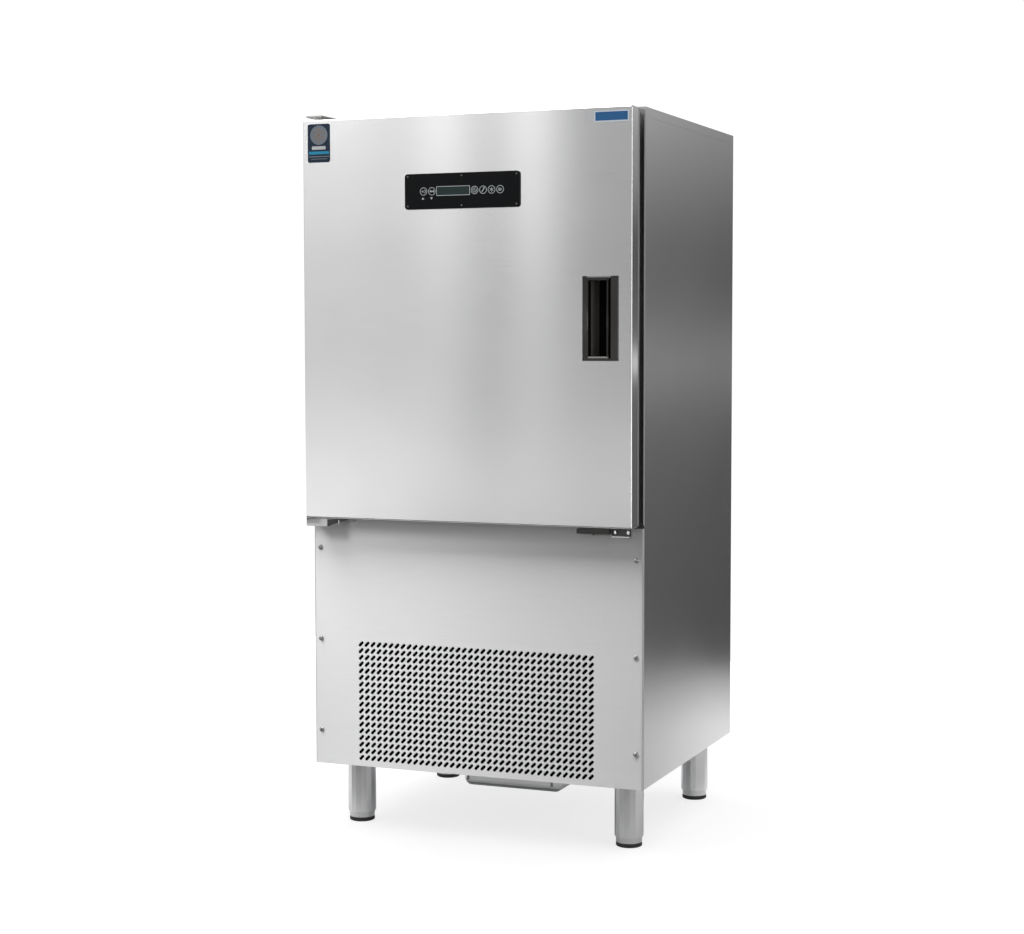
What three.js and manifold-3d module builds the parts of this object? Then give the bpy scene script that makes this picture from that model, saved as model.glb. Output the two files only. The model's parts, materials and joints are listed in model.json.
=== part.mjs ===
// Upright ten-level blast chiller on four adjustable legs: an insulated cell with one full-width door above a
// machine compartment with a slotted front panel. Millimetres. X runs to the right, Y into the depth, Z up.
// The finished part stands on z = 0, centred on the origin.
import * as THREE from 'three';
import { mergeVertices } from 'three/addons/utils/BufferGeometryUtils.js';
import Module from 'manifold-3d';

// ---- driving dimensions -------------------------------------------------------------------------
// The sub-parts are drawn from the middle of the lower panel's face at the body's bottom edge.

// Clearances
const seam = 0.3; // between pieces that touch
const cut = 1; // how far a cutting solid runs past the face it opens
const pipeRoom = 0.5; // round a pipe where it passes a wall

// Body
const bodyWidth = 790;
const bodyDepth = 682; // lower panel's face to back
const bodyHeight = 1460; // without the legs
const sheet = 1.5; // steel skins
const frontSetback = 7; // front frame behind the lower panel's face
const sideReturn = 20; // front edge of a side panel, turned in
const topLip = 20; // turned-down edge of the top cover
const cellBottom = 567; // underside of the insulated cell
const wall = 60; // insulated wall
const frameThickness = 2;
const lowerPanelGap = 1; // lower panel's top edge below the cell

// Base
const baseSheet = 2;
const baseRim = 25;

// Slotted field of the lower panel: cells on a grid, each slot along the grid's diagonal
const slotColumns = 38;
const slotRows = 18;
const slotPitchX = 15;
const slotPitchZ = 15.33;
const slotLength = 14;
const slotWidth = 6.4;
const slotFieldBottom = 19.7; // centre of the lowest row
const cellsPerSlot = 6; // neighbours on a diagonal that are opened as one slot

// Back panel's air outlet
const ventRows = 6;
const ventColumns = 3;
const ventLength = 150;
const ventHeight = 10;
const ventPitchX = 190;
const ventPitchZ = 28;
const ventBottom = 110;

// Legs
const legHeight = 150;
const legInsetX = 66;
const legInsetFront = 104;
const legInsetBack = 82;
const sleeveRadius = 32.3;
const sleeveWall = 2.8;
const sleeveGap = 23; // sleeve's lower edge above the floor
const legFlangeRadius = 42;
const legFlange = 3;
const legNutTop = 60;
const legNutHeight = 15;
const stemRadius = 12;
const stemTop = 25; // below the body
const padRadius = 28;
const padHeight = 9;

// Door
const doorInset = 8;
const doorBottomGap = 4;
const doorTopGap = 3;
const doorReach = 56; // door's face in front of the lower panel's face
const gasketGap = 17; // door's back to the front frame
const plugInset = 10; // raised field of the door's liner inside the chamber opening
const plugReach = 12;
const gasketWidth = 20;
const gasketLap = 6; // gasket's inner edge outside the chamber opening
const gasketFoot = 3;
const gasketNeck = 4;
const gasketNeckInset = 5;
const gasketBulbInset = 1;

// Pocket handle
const handleInset = 30; // from the door's right edge
const handleWidth = 80.5;
const handleHeight = 179;
const handleProud = 2;
const pocketLeft = 13; // rim left of the pocket
const pocketWidth = 49;
const pocketRim = 7.5; // rim above and below the pocket
const pocketUndercut = 8;
const pocketLip = 5;
const pocketDepth = 41;
const pocketWall = 2;

// Control panel
const bezelWidth = 270;
const bezelHeight = 77;
const bezelCorner = 7;
const bezelProud = 4;
const bezelDrop = 166; // centre below the door's top
const moduleInset = 14; // electronics housing inside the bezel's outline
const moduleDepth = 26;
const keyRadius = 8.75;
const keyThickness = 1.5;
const keyTravel = 0.4;
const keyRoom = 0.1; // left behind a key that is pressed home
const keyPlaces = [-90, -70.2, 30.6, 50.4, 70.2, 90];
const displayLeft = -59.2;
const displayRight = 20.2;
const displayHeight = 21;
const displayThickness = 1.2;

// Hinges
const pivotInset = 22; // pivot from the door's left edge
const pivotDepth = 21; // pivot behind the door's face
const pinRadius = 5;
const pinReach = 24; // into the door
const pinCollar = 10;
const upperPlateLeft = -15; // from the pivot
const upperPlateRight = 23;
const upperPlateLift = 6; // above the door's top
const upperPlate = 3.5;
const upperPlateOverhang = 17; // in front of the pivot
const upperFootDepth = 18;
const upperFootStart = 5; // behind the cabinet's front
const lowerPlateLeft = -23;
const lowerPlateRight = 29;
const lowerPlate = 2;
const lowerPlateOverhang = 15;
const lowerLip = 18;
const lowerFlangeEnd = 10;
const lowerBackFlange = 23;

// Door switch and catch below the door
const switchInset = 65; // from the door's right edge
const switchWidth = 75;
const switchHeight = 11;
const switchDepth = 12;
const switchDrop = 3; // below the lower panel's top edge
const leverHalf = 5; // switch lever
const leverDrop = 3;
const leverInset = 2; // behind the housing's face
const catchInset = 22; // from the door's right edge
const catchWidth = 39;
const catchHeight = 16;
const catchDepth = 11;
const catchSheet = 1.5;
const studRadius = 3;
const studInset = 5;

// Tray rack
const rackLevels = 10;
const rackBottom = 33; // lowest ledge above the chamber floor
const rackTopGap = 110; // highest ledge below the chamber's top
const rackFront = 18; // behind the front frame
const rackBackGap = 7; // in front of the fan panel
const ledgeWallGap = 29; // side of a tray to the chamber's wall
const ledgeWidth = 21;
const ledgeSheet = 2;
const uprightDepth = 20;
const uprightInset = 35;
const uprightEndGap = 20; // above the floor and below the ceiling

// Evaporator
const coilBackGap = 22;
const coilDepth = 80;
const coilSideGap = 65;
const coilLift = 33; // above the chamber floor
const coilTopGap = 30;
const coilFinPitch = 30;
const finGroove = 12;
const finGrooveDepth = 6;
const endPlate = 2;
const fanPanelGap = 86; // fan panel in front of the coil
const fanPanelSideGap = 50;
const fanPanelReturn = 80;
const fanPitchTrim = 6.5; // fans' pitch under half the chamber's height
const evaporatorFanRadius = 138;
const evaporatorOpening = 145;
const evaporatorMotorRadius = 36;
const evaporatorMotorLength = 42;

// Axial fans
const fanSpokes = 4;
const guardCentre = 52;
const guardRing = 5; // solid ring between two rows of openings
const spokeWidth = 8;
const hubRadius = 38;
const hubLength = 22;
const hubGap = 6; // motor to hub
const shaftRadius = 4;
const bladeCount = 5;
const bladePitch = 24; // degrees
const bladeThickness = 2;
const bladeSweep = 25; // half angle of a blade's tip, degrees

// Condensing unit
const condenserFront = 30;
const condenserDepth = 56;
const condenserWidth = 500;
const condenserHeight = 280;
const condenserLift = 20;
const condenserFinPitch = 20;
const shroudDepth = 40;
const condenserFanRadius = 120;
const condenserOpening = 127;
const condenserMotorRadius = 36;
const condenserMotorLength = 50;
const compressorSideInset = 230; // axis from the right side
const compressorBackInset = 252;
const compressorRadius = 105;
const compressorHeight = 255;
const compressorLift = 15;
const compressorStub = 4;
const compressorSkirt = 35; // tapered bottom
const compressorWeld = 118; // joint of the two shells, above the bottom
const weldWidth = 14;
const weldReach = 3;
const compressorCrown = 60; // domed top
const compressorPlate = 3;
const compressorPlateReach = 12; // mounting plate beyond the shell
const grommetRadius = 11;
const grommetInset = 14;
const grommetRise = 8; // above the mounting plate
const terminalReach = 42; // terminal cover beyond the shell
const terminalWidth = 90;
const terminalLift = 60;
const terminalHeight = 90;
const shellLap = 12; // fittings sunk into the shell
const stubWall = 2;
const suctionRadius = 9.5;
const suctionHeight = 130;
const suctionBend = 18;
const dischargeRadius = 6;
const dischargeHeight = 205;
const dischargeBend = 20;
const dischargeSide = 27; // pipe outside the condenser's end plate
const pipeRunGap = 60; // pipes behind the condenser's shroud
const receiverSideInset = 245; // axis from the left side
const receiverY = 330;
const receiverRadius = 50;
const receiverHeight = 260;
const receiverFoot = 4;
const receiverFootReach = 8;
const receiverDome = 25;
const receiverPort = 8;
const receiverPortWall = 3;
const receiverInlet = 60; // height of the pipe from the condenser
const liquidRadius = 5;
const liquidBend = 30;
const liquidRise = 500; // height of the liquid line's run to the back
const drierRadius = 20;
const drierBottom = 320;
const drierLength = 110;
const drierCone = 18;
const boxSideInset = 15;
const boxWidth = 150;
const boxBackInset = 82;
const boxDepth = 200;
const boxHeight = 320;
const boxLidLip = 4;

// Drain and condensate tray
const drainX = -60;
const drainGap = 46; // behind the fan panel's face
const drainRadius = 10;
const drainWall = 2;
const drainFlange = 18;
const drainFlangeThickness = 2;
const drainEnd = 5; // below the body
const trayWidth = 244;
const trayDepth = 300;
const trayDrainInset = 260; // tray's front before the drain
const trayTop = 8; // below the body
const trayBottom = 78;
const trayCorner = 25;
const trayBottomCorner = 18;
const trayRim = 8;
const trayRimInset = 10;
const runnerFront = 60;
const runnerBackInset = 142;
const runnerFlange = 14;
const runnerRoom = 1;

// Cord gland on the back
const glandInset = 65;
const glandHeight = 60;
const glandReach = 14;
const glandNut = 14;
const glandThread = 9.5;
const glandBore = 5;
const glandInnerNut = 8;
const glandCollar = 5;
const glandDome = 2;

// ---- derived places -----------------------------------------------------------------------------
const halfWidth = bodyWidth / 2;
const insideX = halfWidth - sheet - seam;
const backInside = bodyDepth - sheet - seam;
const sideTop = bodyHeight - topLip - seam;
const cellFront = frontSetback + frameThickness + seam;
const chamberX = halfWidth - wall;
const chamberFloor = cellBottom + wall;
const chamberTop = bodyHeight - wall;
const chamberBack = bodyDepth - wall;
const lowerPanelTop = cellBottom - lowerPanelGap;
const trayHalfWidth = chamberX - ledgeWallGap;
const rackPitch = (chamberTop - chamberFloor - rackBottom - rackTopGap) / (rackLevels - 1);

const doorX = halfWidth - doorInset;
const doorBottom = cellBottom + doorBottomGap;
const doorTop = bodyHeight - doorTopGap;
const doorFace = -doorReach;
const doorBack = frontSetback - gasketGap;
const doorInsideX = doorX - sheet - seam;
const pivot = new THREE.Vector2(pivotInset - doorX, doorFace + pivotDepth);
const switchRight = doorX - switchInset;
const switchLeft = switchRight - switchWidth;
const catchRight = doorX - catchInset;
const catchLeft = catchRight - catchWidth;

const coilY = chamberBack - coilBackGap - coilDepth / 2;
const coilBottom = chamberFloor + coilLift;
const coilTop = chamberTop - coilTopGap;
const fanPanelY = coilY - coilDepth / 2 - fanPanelGap;
const fanMiddle = (chamberFloor + chamberTop) / 2;
const coilWidth = 2 * (chamberX - coilSideGap);
const fanPanelWidth = 2 * (chamberX - fanPanelSideGap);
const evaporatorFanPitch = (chamberTop - chamberFloor) / 2 - fanPitchTrim;
const drainY = fanPanelY + drainGap;
const trayFront = drainY - trayDrainInset;
const compressorX = halfWidth - compressorSideInset;
const compressorY = bodyDepth - compressorBackInset;
const receiverX = receiverSideInset - halfWidth;
const condenserBottom = baseSheet + condenserLift;
const condenserBack = condenserFront + condenserDepth;
const condenserMiddle = condenserBottom + condenserHeight / 2;
const handleLeft = doorX - handleInset - handleWidth;
const handleMiddle = (doorBottom + doorTop) / 2;
const bezelMiddle = doorTop - bezelDrop;
const bezelFace = doorFace - bezelProud;
const centreY = (bodyDepth + glandReach + bezelFace) / 2;

// ---- solids from three.js geometry --------------------------------------------------------------
const wasm = await Module();
wasm.setup();

const ROUND = 16; // sides of a round piece
const PIPE_BEND_STEPS = 4;
const GUARD_STEPS = 3; // along an arc of a fan guard
const acrossFront = new THREE.Matrix4().makeBasis(
  new THREE.Vector3(1, 0, 0),
  new THREE.Vector3(0, 0, 1),
  new THREE.Vector3(0, -1, 0),
);
const acrossSide = new THREE.Matrix4().makeBasis(
  new THREE.Vector3(0, 1, 0),
  new THREE.Vector3(0, 0, 1),
  new THREE.Vector3(1, 0, 0),
);
const alongY = new THREE.Matrix4().makeRotationX(-Math.PI / 2);

function toSolid(geometry) {
  const bare = geometry.index ? geometry.toNonIndexed() : geometry.clone();
  bare.deleteAttribute('normal');
  bare.deleteAttribute('uv');
  const merged = mergeVertices(bare, 1e-4);
  const corners = merged.index.array;
  const faces = [];
  for (let i = 0; i < corners.length; i += 3) {
    const face = [corners[i], corners[i + 1], corners[i + 2]];
    if (new Set(face).size === 3) faces.push(...face);
  }
  const vertProperties = merged.attributes.position.array;
  return new wasm.Manifold(new wasm.Mesh({ numProp: 3, vertProperties, triVerts: new Uint32Array(faces) }));
}

function toGeometry(solid) {
  const mesh = solid.getMesh();
  const geometry = new THREE.BufferGeometry();
  geometry.setAttribute('position', new THREE.BufferAttribute(mesh.vertProperties, 3));
  geometry.setIndex(new THREE.BufferAttribute(mesh.triVerts, 1));
  const flat = geometry.toNonIndexed();
  flat.computeVertexNormals();
  return flat;
}

// Box between two limits on each axis.
function block([x0, x1], [y0, y1], [z0, z1]) {
  const box = new THREE.BoxGeometry(x1 - x0, y1 - y0, z1 - z0);
  return toSolid(box.translate((x0 + x1) / 2, (y0 + y1) / 2, (z0 + z1) / 2));
}

function extrude(shapes, depth, segments = 4) {
  return new THREE.ExtrudeGeometry(shapes, { depth, bevelEnabled: false, curveSegments: segments });
}

// Outline in X and Z, extruded along Y.
function prismY(shapes, [y0, y1], segments) {
  return toSolid(extrude(shapes, y1 - y0, segments).applyMatrix4(acrossFront).translate(0, y1, 0));
}

// Outline in Y and Z, extruded along X.
function prismX(shapes, [x0, x1]) {
  return toSolid(extrude(shapes, x1 - x0).applyMatrix4(acrossSide).translate(x0, 0, 0));
}

// Outline in X and Y, extruded along Z.
function prismZ(shapes, [z0, z1], segments) {
  return toSolid(extrude(shapes, z1 - z0, segments).translate(0, 0, z0));
}

function polygon(points) {
  return new THREE.Shape(points.map(([x, y]) => new THREE.Vector2(x, y)));
}

function roundedRectangle([x0, x1], [y0, y1], radius) {
  const shape = new THREE.Shape();
  shape.absarc(x1 - radius, y1 - radius, radius, 0, Math.PI / 2);
  shape.absarc(x0 + radius, y1 - radius, radius, Math.PI / 2, Math.PI);
  shape.absarc(x0 + radius, y0 + radius, radius, Math.PI, 1.5 * Math.PI);
  shape.absarc(x1 - radius, y0 + radius, radius, 1.5 * Math.PI, 2 * Math.PI);
  return shape;
}

function circle(x, y, radius, segments) {
  const angles = Array.from({ length: segments }, (_, i) => (i / segments) * 2 * Math.PI);
  return polygon(angles.map((angle) => [x + radius * Math.cos(angle), y + radius * Math.sin(angle)]));
}

// Profile of [radius, height] points, anticlockwise, turned about Z.
function turned(profile, segments = ROUND) {
  const points = profile.map(([r, z]) => new THREE.Vector2(r, z));
  const onAxis = points[0].x === 0 && points[points.length - 1].x === 0;
  if (!onAxis) points.push(points[0].clone());
  return new THREE.LatheGeometry(points, segments).rotateX(Math.PI / 2);
}

// The same, turned about Y: heights run into the depth.
function turnedY(profile, segments = ROUND) {
  return turned(profile, segments).applyMatrix4(alongY);
}

function rod([x, y], [z0, z1], radius, segments = ROUND) {
  const profile = [[0, z0], [radius, z0], [radius, z1], [0, z1]];
  return toSolid(turned(profile, segments).translate(x, y, 0));
}

function rodY([x, z], [y0, y1], radius, segments = ROUND) {
  const profile = [[0, y0], [radius, y0], [radius, y1], [0, y1]];
  return toSolid(turnedY(profile, segments).translate(x, 0, z));
}

// Route through chosen samples, one for each step along it.
class SampledRoute extends THREE.Curve {
  constructor(samples) {
    super();
    this.samples = samples;
  }

  getPointAt(u) {
    const last = this.samples.length - 1;
    const i = Math.min(Math.floor(u * last + 1e-6), last - 1);
    return this.samples[i].clone().lerp(this.samples[i + 1], u * last - i);
  }

  getTangentAt(u) {
    const last = this.samples.length - 1;
    const i = Math.round(u * last);
    const from = this.samples[Math.max(i - 1, 0)];
    const to = this.samples[Math.min(i + 1, last)];
    return to.clone().sub(from).normalize();
  }
}

// Pipe along straight runs joined by round bends of one radius.
function pipe(corners, radius, bend) {
  const points = corners.map((corner) => new THREE.Vector3(...corner));
  const samples = [points[0]];
  for (let i = 1; i < points.length - 1; i += 1) {
    const before = points[i - 1].clone().sub(points[i]).setLength(bend).add(points[i]);
    const after = points[i + 1].clone().sub(points[i]).setLength(bend).add(points[i]);
    const middle = before.clone().add(after).multiplyScalar(0.5);
    const centre = middle.clone().multiplyScalar(2).sub(points[i]);
    for (let step = 0; step <= PIPE_BEND_STEPS; step += 1) {
      const angle = (step / PIPE_BEND_STEPS) * (Math.PI / 2);
      const spoke = before.clone().sub(centre).multiplyScalar(Math.cos(angle));
      samples.push(spoke.add(after.clone().sub(centre).multiplyScalar(Math.sin(angle))).add(centre));
    }
  }
  samples.push(points[points.length - 1]);
  const extrudePath = new SampledRoute(samples);
  const options = { extrudePath, steps: samples.length - 1, bevelEnabled: false };
  return toSolid(new THREE.ExtrudeGeometry(circle(0, 0, radius, 8), options));
}

function mesh(name, shape, material) {
  const made = new THREE.Mesh(shape.isBufferGeometry ? shape : toGeometry(shape), material);
  made.name = name;
  return made;
}

// ---- materials ----------------------------------------------------------------------------------
function finish(color, roughness, metalness) {
  return new THREE.MeshStandardMaterial({ color, roughness, metalness });
}

const brushedSteel = finish(0xc8c9ca, 0.34, 1);
const brightSteel = finish(0xd6d7d8, 0.2, 1);
const galvanised = finish(0xa9acae, 0.45, 1);
const aluminium = finish(0xbfc2c4, 0.4, 1);
const copper = finish(0xb4694a, 0.35, 1);
const foam = finish(0xe6d7a2, 0.95, 0);
const blackPlastic = finish(0x1d1b1a, 0.4, 0);
const glossBlack = finish(0x0b0d0e, 0.12, 0);
const displayGreen = finish(0x2b3a37, 0.2, 0);
const rubber = finish(0x2a2a2a, 0.8, 0);
const greyGasket = finish(0x3b3d3e, 0.7, 0);
const blackPaint = finish(0x17181a, 0.45, 0.1);
const greyPlastic = finish(0xb9bbbc, 0.5, 0);

// ---- cabinet ------------------------------------------------------------------------------------
function sidePanel(side) {
  const outer = side * halfWidth;
  const inner = side * (halfWidth - sheet);
  const lip = side * (halfWidth - sideReturn);
  const outline = polygon([
    [outer, frontSetback],
    [outer, backInside],
    [inner, backInside],
    [inner, frontSetback + sheet],
    [lip, frontSetback + sheet],
    [lip, frontSetback],
  ]);
  return prismZ(outline, [0, sideTop]);
}

function backPanel() {
  const vents = [];
  for (let column = 0; column < ventColumns; column += 1) {
    for (let row = 0; row < ventRows; row += 1) {
      const x = (column - (ventColumns - 1) / 2) * ventPitchX;
      const z = ventBottom + row * ventPitchZ;
      const left = x - ventLength / 2;
      const right = x + ventLength / 2;
      vents.push(polygon([[left, z], [right, z], [right, z + ventHeight], [left, z + ventHeight]]));
    }
  }
  const through = [bodyDepth - sheet - cut, bodyDepth + cut];
  const plate = block([-halfWidth, halfWidth], [bodyDepth - sheet, bodyDepth], [0, sideTop]);
  const glandHole = rodY([halfWidth - glandInset, glandHeight], through, glandThread + seam, 16);
  return plate.subtract(prismY(vents, through)).subtract(glandHole);
}

function topCover() {
  const outside = block(
    [-halfWidth, halfWidth],
    [frontSetback, bodyDepth],
    [bodyHeight - topLip, bodyHeight],
  );
  const inside = block(
    [sheet - halfWidth, halfWidth - sheet],
    [frontSetback + sheet, bodyDepth - sheet],
    [bodyHeight - topLip - cut, bodyHeight - sheet],
  );
  return outside.subtract(inside);
}

function frontFrame() {
  const outerX = halfWidth - sideReturn - seam;
  const limits = [frontSetback, frontSetback + frameThickness];
  const plate = block([-outerX, outerX], limits, [cellBottom, sideTop]);
  return plate.subtract(chamberTub(0, [limits[0] - cut, limits[1] + cut]));
}

// Slots on the diagonals of a grid: the run of cells on a diagonal is opened a few cells at a time.
function diagonalSlots() {
  const along = new THREE.Vector2(slotPitchX, slotPitchZ);
  const pitch = along.length();
  const slots = [];
  for (let diagonal = 1 - slotRows; diagonal < slotColumns; diagonal += 1) {
    const firstRow = Math.max(0, -diagonal);
    const lastRow = Math.min(slotRows, slotColumns - diagonal) - 1;
    for (let row = firstRow; row <= lastRow; row += cellsPerSlot) {
      const run = Math.min(cellsPerSlot, lastRow - row + 1) - 1;
      const middle = row + run / 2;
      const x = (middle + diagonal - (slotColumns - 1) / 2) * slotPitchX;
      const z = slotFieldBottom + middle * slotPitchZ;
      const half = along.clone().setLength((run * pitch + slotLength) / 2);
      const across = new THREE.Vector2(-along.y, along.x).setLength(slotWidth / 2);
      slots.push(polygon([
        [x - half.x - across.x, z - half.y - across.y],
        [x + half.x - across.x, z + half.y - across.y],
        [x + half.x + across.x, z + half.y + across.y],
        [x - half.x + across.x, z - half.y + across.y],
      ]));
    }
  }
  return slots;
}

function lowerFrontPanel() {
  const pan = block([-halfWidth, halfWidth], [0, frontSetback - seam], [0, lowerPanelTop]);
  const hollow = block(
    [sheet - halfWidth, halfWidth - sheet],
    [sheet, frontSetback + cut],
    [sheet, lowerPanelTop - sheet],
  );
  return pan.subtract(hollow).subtract(prismY(diagonalSlots(), [-cut, sheet + cut]));
}

function baseChassis() {
  const front = frontSetback + sheet + seam;
  const pan = block([-insideX, insideX], [front, backInside], [0, baseRim]);
  const hollow = block(
    [baseSheet - insideX, insideX - baseSheet],
    [front + baseSheet, backInside - baseSheet],
    [baseSheet, baseRim + cut],
  );
  const drainHole = rod([drainX, drainY], [-cut, baseRim], drainRadius + pipeRoom);
  return pan.subtract(hollow).subtract(drainHole);
}

// The drain and the two refrigerant lines, where they pass up through the cell's floor.
function floorHoles([z0, z1], segments = 16) {
  return rod([drainX, drainY], [z0, z1], drainRadius + pipeRoom, segments)
    .add(rod([compressorX, coilY], [z0, z1], suctionRadius + pipeRoom, segments))
    .add(rod([receiverX, coilY], [z0, z1], liquidRadius + pipeRoom, segments));
}

function cellFloor() {
  const plate = block([-insideX, insideX], [cellFront, backInside], [cellBottom, cellBottom + sheet]);
  return plate.subtract(floorHoles([cellBottom - cut, cellBottom + sheet + cut]));
}

function chamberTub(growth, depth) {
  return block(
    [-chamberX - growth, chamberX + growth],
    depth,
    [chamberFloor - growth, chamberTop + growth],
  );
}

function chamberLiner() {
  const tub = chamberTub(sheet, [cellFront, chamberBack + sheet]);
  const hollow = chamberTub(0, [cellFront - cut, chamberBack]);
  return tub.subtract(hollow).subtract(floorHoles([chamberFloor - sheet - cut, chamberFloor + cut]));
}

function cabinetInsulation() {
  const top = bodyHeight - sheet - seam;
  const bottom = cellBottom + sheet + seam;
  const jacket = block([-insideX, insideX], [cellFront, backInside], [bottom, top]);
  const pocket = chamberTub(sheet + seam, [cellFront - cut, chamberBack + sheet + seam]);
  return jacket.subtract(pocket).subtract(floorHoles([bottom - cut, chamberFloor + cut]));
}

// ---- legs ---------------------------------------------------------------------------------------
function legSleeve() {
  const inner = sleeveRadius - sleeveWall;
  const bottom = sleeveGap - legHeight;
  const nutTop = -legNutTop;
  const nutBottom = nutTop - legNutHeight;
  return turned([
    [0, -stemTop + legFlange],
    [inner, -stemTop + legFlange],
    [inner, nutTop],
    [stemRadius + seam, nutTop],
    [stemRadius + seam, nutBottom],
    [inner, nutBottom],
    [inner, bottom],
    [sleeveRadius, bottom],
    [sleeveRadius, -seam - legFlange],
    [legFlangeRadius, -seam - legFlange],
    [legFlangeRadius, -seam],
    [0, -seam],
  ]);
}

function levelingFoot() {
  const insertTop = sleeveGap - legHeight + legNutHeight;
  const insertRadius = sleeveRadius - sleeveWall - pipeRoom;
  const chamfer = 2;
  return turned([
    [0, -legHeight],
    [padRadius - chamfer, -legHeight],
    [padRadius, chamfer - legHeight],
    [padRadius, padHeight - legHeight],
    [insertRadius, padHeight - legHeight],
    [insertRadius, insertTop],
    [stemRadius, insertTop],
    [stemRadius, -stemTop],
    [0, -stemTop],
  ]);
}

// ---- machine compartment ------------------------------------------------------------------------
// Fin block with vertical grooves on its front face, between two end plates that stand on the floor below it.
function finnedCoil(width, [y0, y1], [z0, z1], floor, finPitch) {
  const half = width / 2 - endPlate;
  const count = Math.floor((2 * half - finGroove) / finPitch);
  const points = [[half, y0], [half, y1], [-half, y1], [-half, y0]];
  for (let i = 0; i <= count; i += 1) {
    const left = (i - count / 2) * finPitch - finGroove / 2;
    const right = left + finGroove;
    points.push([left, y0], [left, y0 + finGrooveDepth], [right, y0 + finGrooveDepth], [right, y0]);
  }
  const finBlock = prismZ(polygon(points), [z0, z1]);
  const plates = [-1, 1].map((side) => {
    const limits = side < 0 ? [-width / 2, -half] : [half, width / 2];
    return block(limits, [y0, y1], [floor, z1]);
  });
  return finBlock.add(plates[0]).add(plates[1]);
}

function condenserCoil() {
  const limits = [condenserBottom, condenserBottom + condenserHeight];
  const floor = baseSheet + seam;
  return finnedCoil(condenserWidth, [condenserFront, condenserBack], limits, floor, condenserFinPitch);
}

// Openings of a fan guard: two rows of sectors round a solid middle.
function guardSectors(x, z, outerRadius) {
  const middleRadius = (guardCentre + outerRadius) / 2;
  const rows = [
    [guardCentre, middleRadius - guardRing / 2],
    [middleRadius + guardRing / 2, outerRadius],
  ];
  const sectors = [];
  rows.forEach(([inner, outer]) => {
    for (let i = 0; i < fanSpokes; i += 1) {
      const start = (i / fanSpokes) * 2 * Math.PI;
      const end = ((i + 1) / fanSpokes) * 2 * Math.PI;
      const innerGap = spokeWidth / 2 / inner;
      const outerGap = spokeWidth / 2 / outer;
      const sector = new THREE.Shape();
      sector.absarc(x, z, outer, start + outerGap, end - outerGap);
      sector.absarc(x, z, inner, end - innerGap, start + innerGap, true);
      sectors.push(sector);
    }
  });
  return sectors;
}

function condenserShroud() {
  const front = condenserBack + seam;
  const back = front + shroudDepth;
  const half = condenserWidth / 2;
  const [bottom, top] = [condenserBottom, condenserBottom + condenserHeight];
  const pan = block([-half, half], [front, back], [bottom, top]);
  const hollow = block([sheet - half, half - sheet], [front - cut, back - sheet], [bottom + sheet, top - sheet]);
  const openings = prismY(guardSectors(0, condenserMiddle, condenserOpening), [front, back + cut], GUARD_STEPS);
  return pan.subtract(hollow).subtract(openings);
}

// Motor with its shaft, standing on y = 0 and pointing into the depth.
function fanMotor(radius, length) {
  const chamfer = 4;
  return turnedY([
    [0, 0],
    [radius - chamfer, 0],
    [radius, chamfer],
    [radius, length - chamfer],
    [radius - chamfer, length],
    [shaftRadius, length],
    [shaftRadius, length + hubGap + hubLength / 2],
    [0, length + hubGap + hubLength / 2],
  ]);
}

// Hub with a blind bore for the shaft, and pitched blades. The hub's near face is on y = 0.
function axialFan(radius) {
  const shaftEnd = hubLength / 2 + pipeRoom;
  const hub = toSolid(turnedY([
    [0, shaftEnd],
    [shaftRadius + seam, shaftEnd],
    [shaftRadius + seam, 0],
    [hubRadius, 0],
    [hubRadius, hubLength],
    [0, hubLength],
  ]));
  const sweep = THREE.MathUtils.degToRad(bladeSweep);
  const root = hubRadius * 0.85;
  const outline = new THREE.Shape();
  outline.moveTo(root, -root / 2);
  outline.absarc(0, 0, radius, -sweep, sweep);
  outline.lineTo(root, root / 2);
  let fan = hub;
  for (let i = 0; i < bladeCount; i += 1) {
    const blade = extrude(outline, bladeThickness).translate(0, 0, -bladeThickness / 2).applyMatrix4(acrossFront);
    blade.rotateX(THREE.MathUtils.degToRad(bladePitch));
    blade.rotateY((i / bladeCount) * 2 * Math.PI);
    fan = fan.add(toSolid(blade.translate(0, hubLength / 2, 0)));
  }
  return fan;
}

function compressor() {
  const bottom = baseSheet + compressorLift;
  const top = bottom + compressorHeight;
  const r = compressorRadius;
  const weld = bottom + compressorWeld;
  const plateHalf = r + compressorPlateReach;
  const shell = toSolid(turned([
    [0, bottom],
    [r * 0.8, bottom],
    [r, bottom + compressorSkirt],
    [r, weld],
    [r + weldReach, weld + 2],
    [r + weldReach, weld + weldWidth - 2],
    [r, weld + weldWidth],
    [r, top - compressorCrown],
    [r * 0.86, top - compressorCrown * 0.42],
    [r * 0.5, top - compressorCrown * 0.085],
    [0, top],
  ]).translate(compressorX, compressorY, 0));
  const feet = block(
    [compressorX - plateHalf, compressorX + plateHalf],
    [compressorY - plateHalf, compressorY + plateHalf],
    [bottom, bottom + compressorPlate],
  );
  let unit = shell.add(feet);
  [-1, 1].forEach((i) => {
    [-1, 1].forEach((j) => {
      const reach = plateHalf - grommetInset;
      const limits = [baseSheet + seam, bottom + compressorPlate + grommetRise];
      unit = unit.add(rod([compressorX + i * reach, compressorY + j * reach], limits, grommetRadius, 8));
    });
  });
  const terminals = block(
    [compressorX + r - shellLap, compressorX + r + terminalReach],
    [compressorY - terminalWidth / 2, compressorY + terminalWidth / 2],
    [bottom + terminalLift, bottom + terminalLift + terminalHeight],
  );
  const back = [compressorY + r - shellLap, compressorY + r + compressorStub];
  const front = [compressorY - r - compressorStub, compressorY - r + shellLap];
  return unit
    .add(terminals)
    .add(rodY([compressorX, suctionHeight], back, suctionRadius + stubWall, 8))
    .add(rodY([compressorX, dischargeHeight], front, dischargeRadius + stubWall, 8));
}

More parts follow.
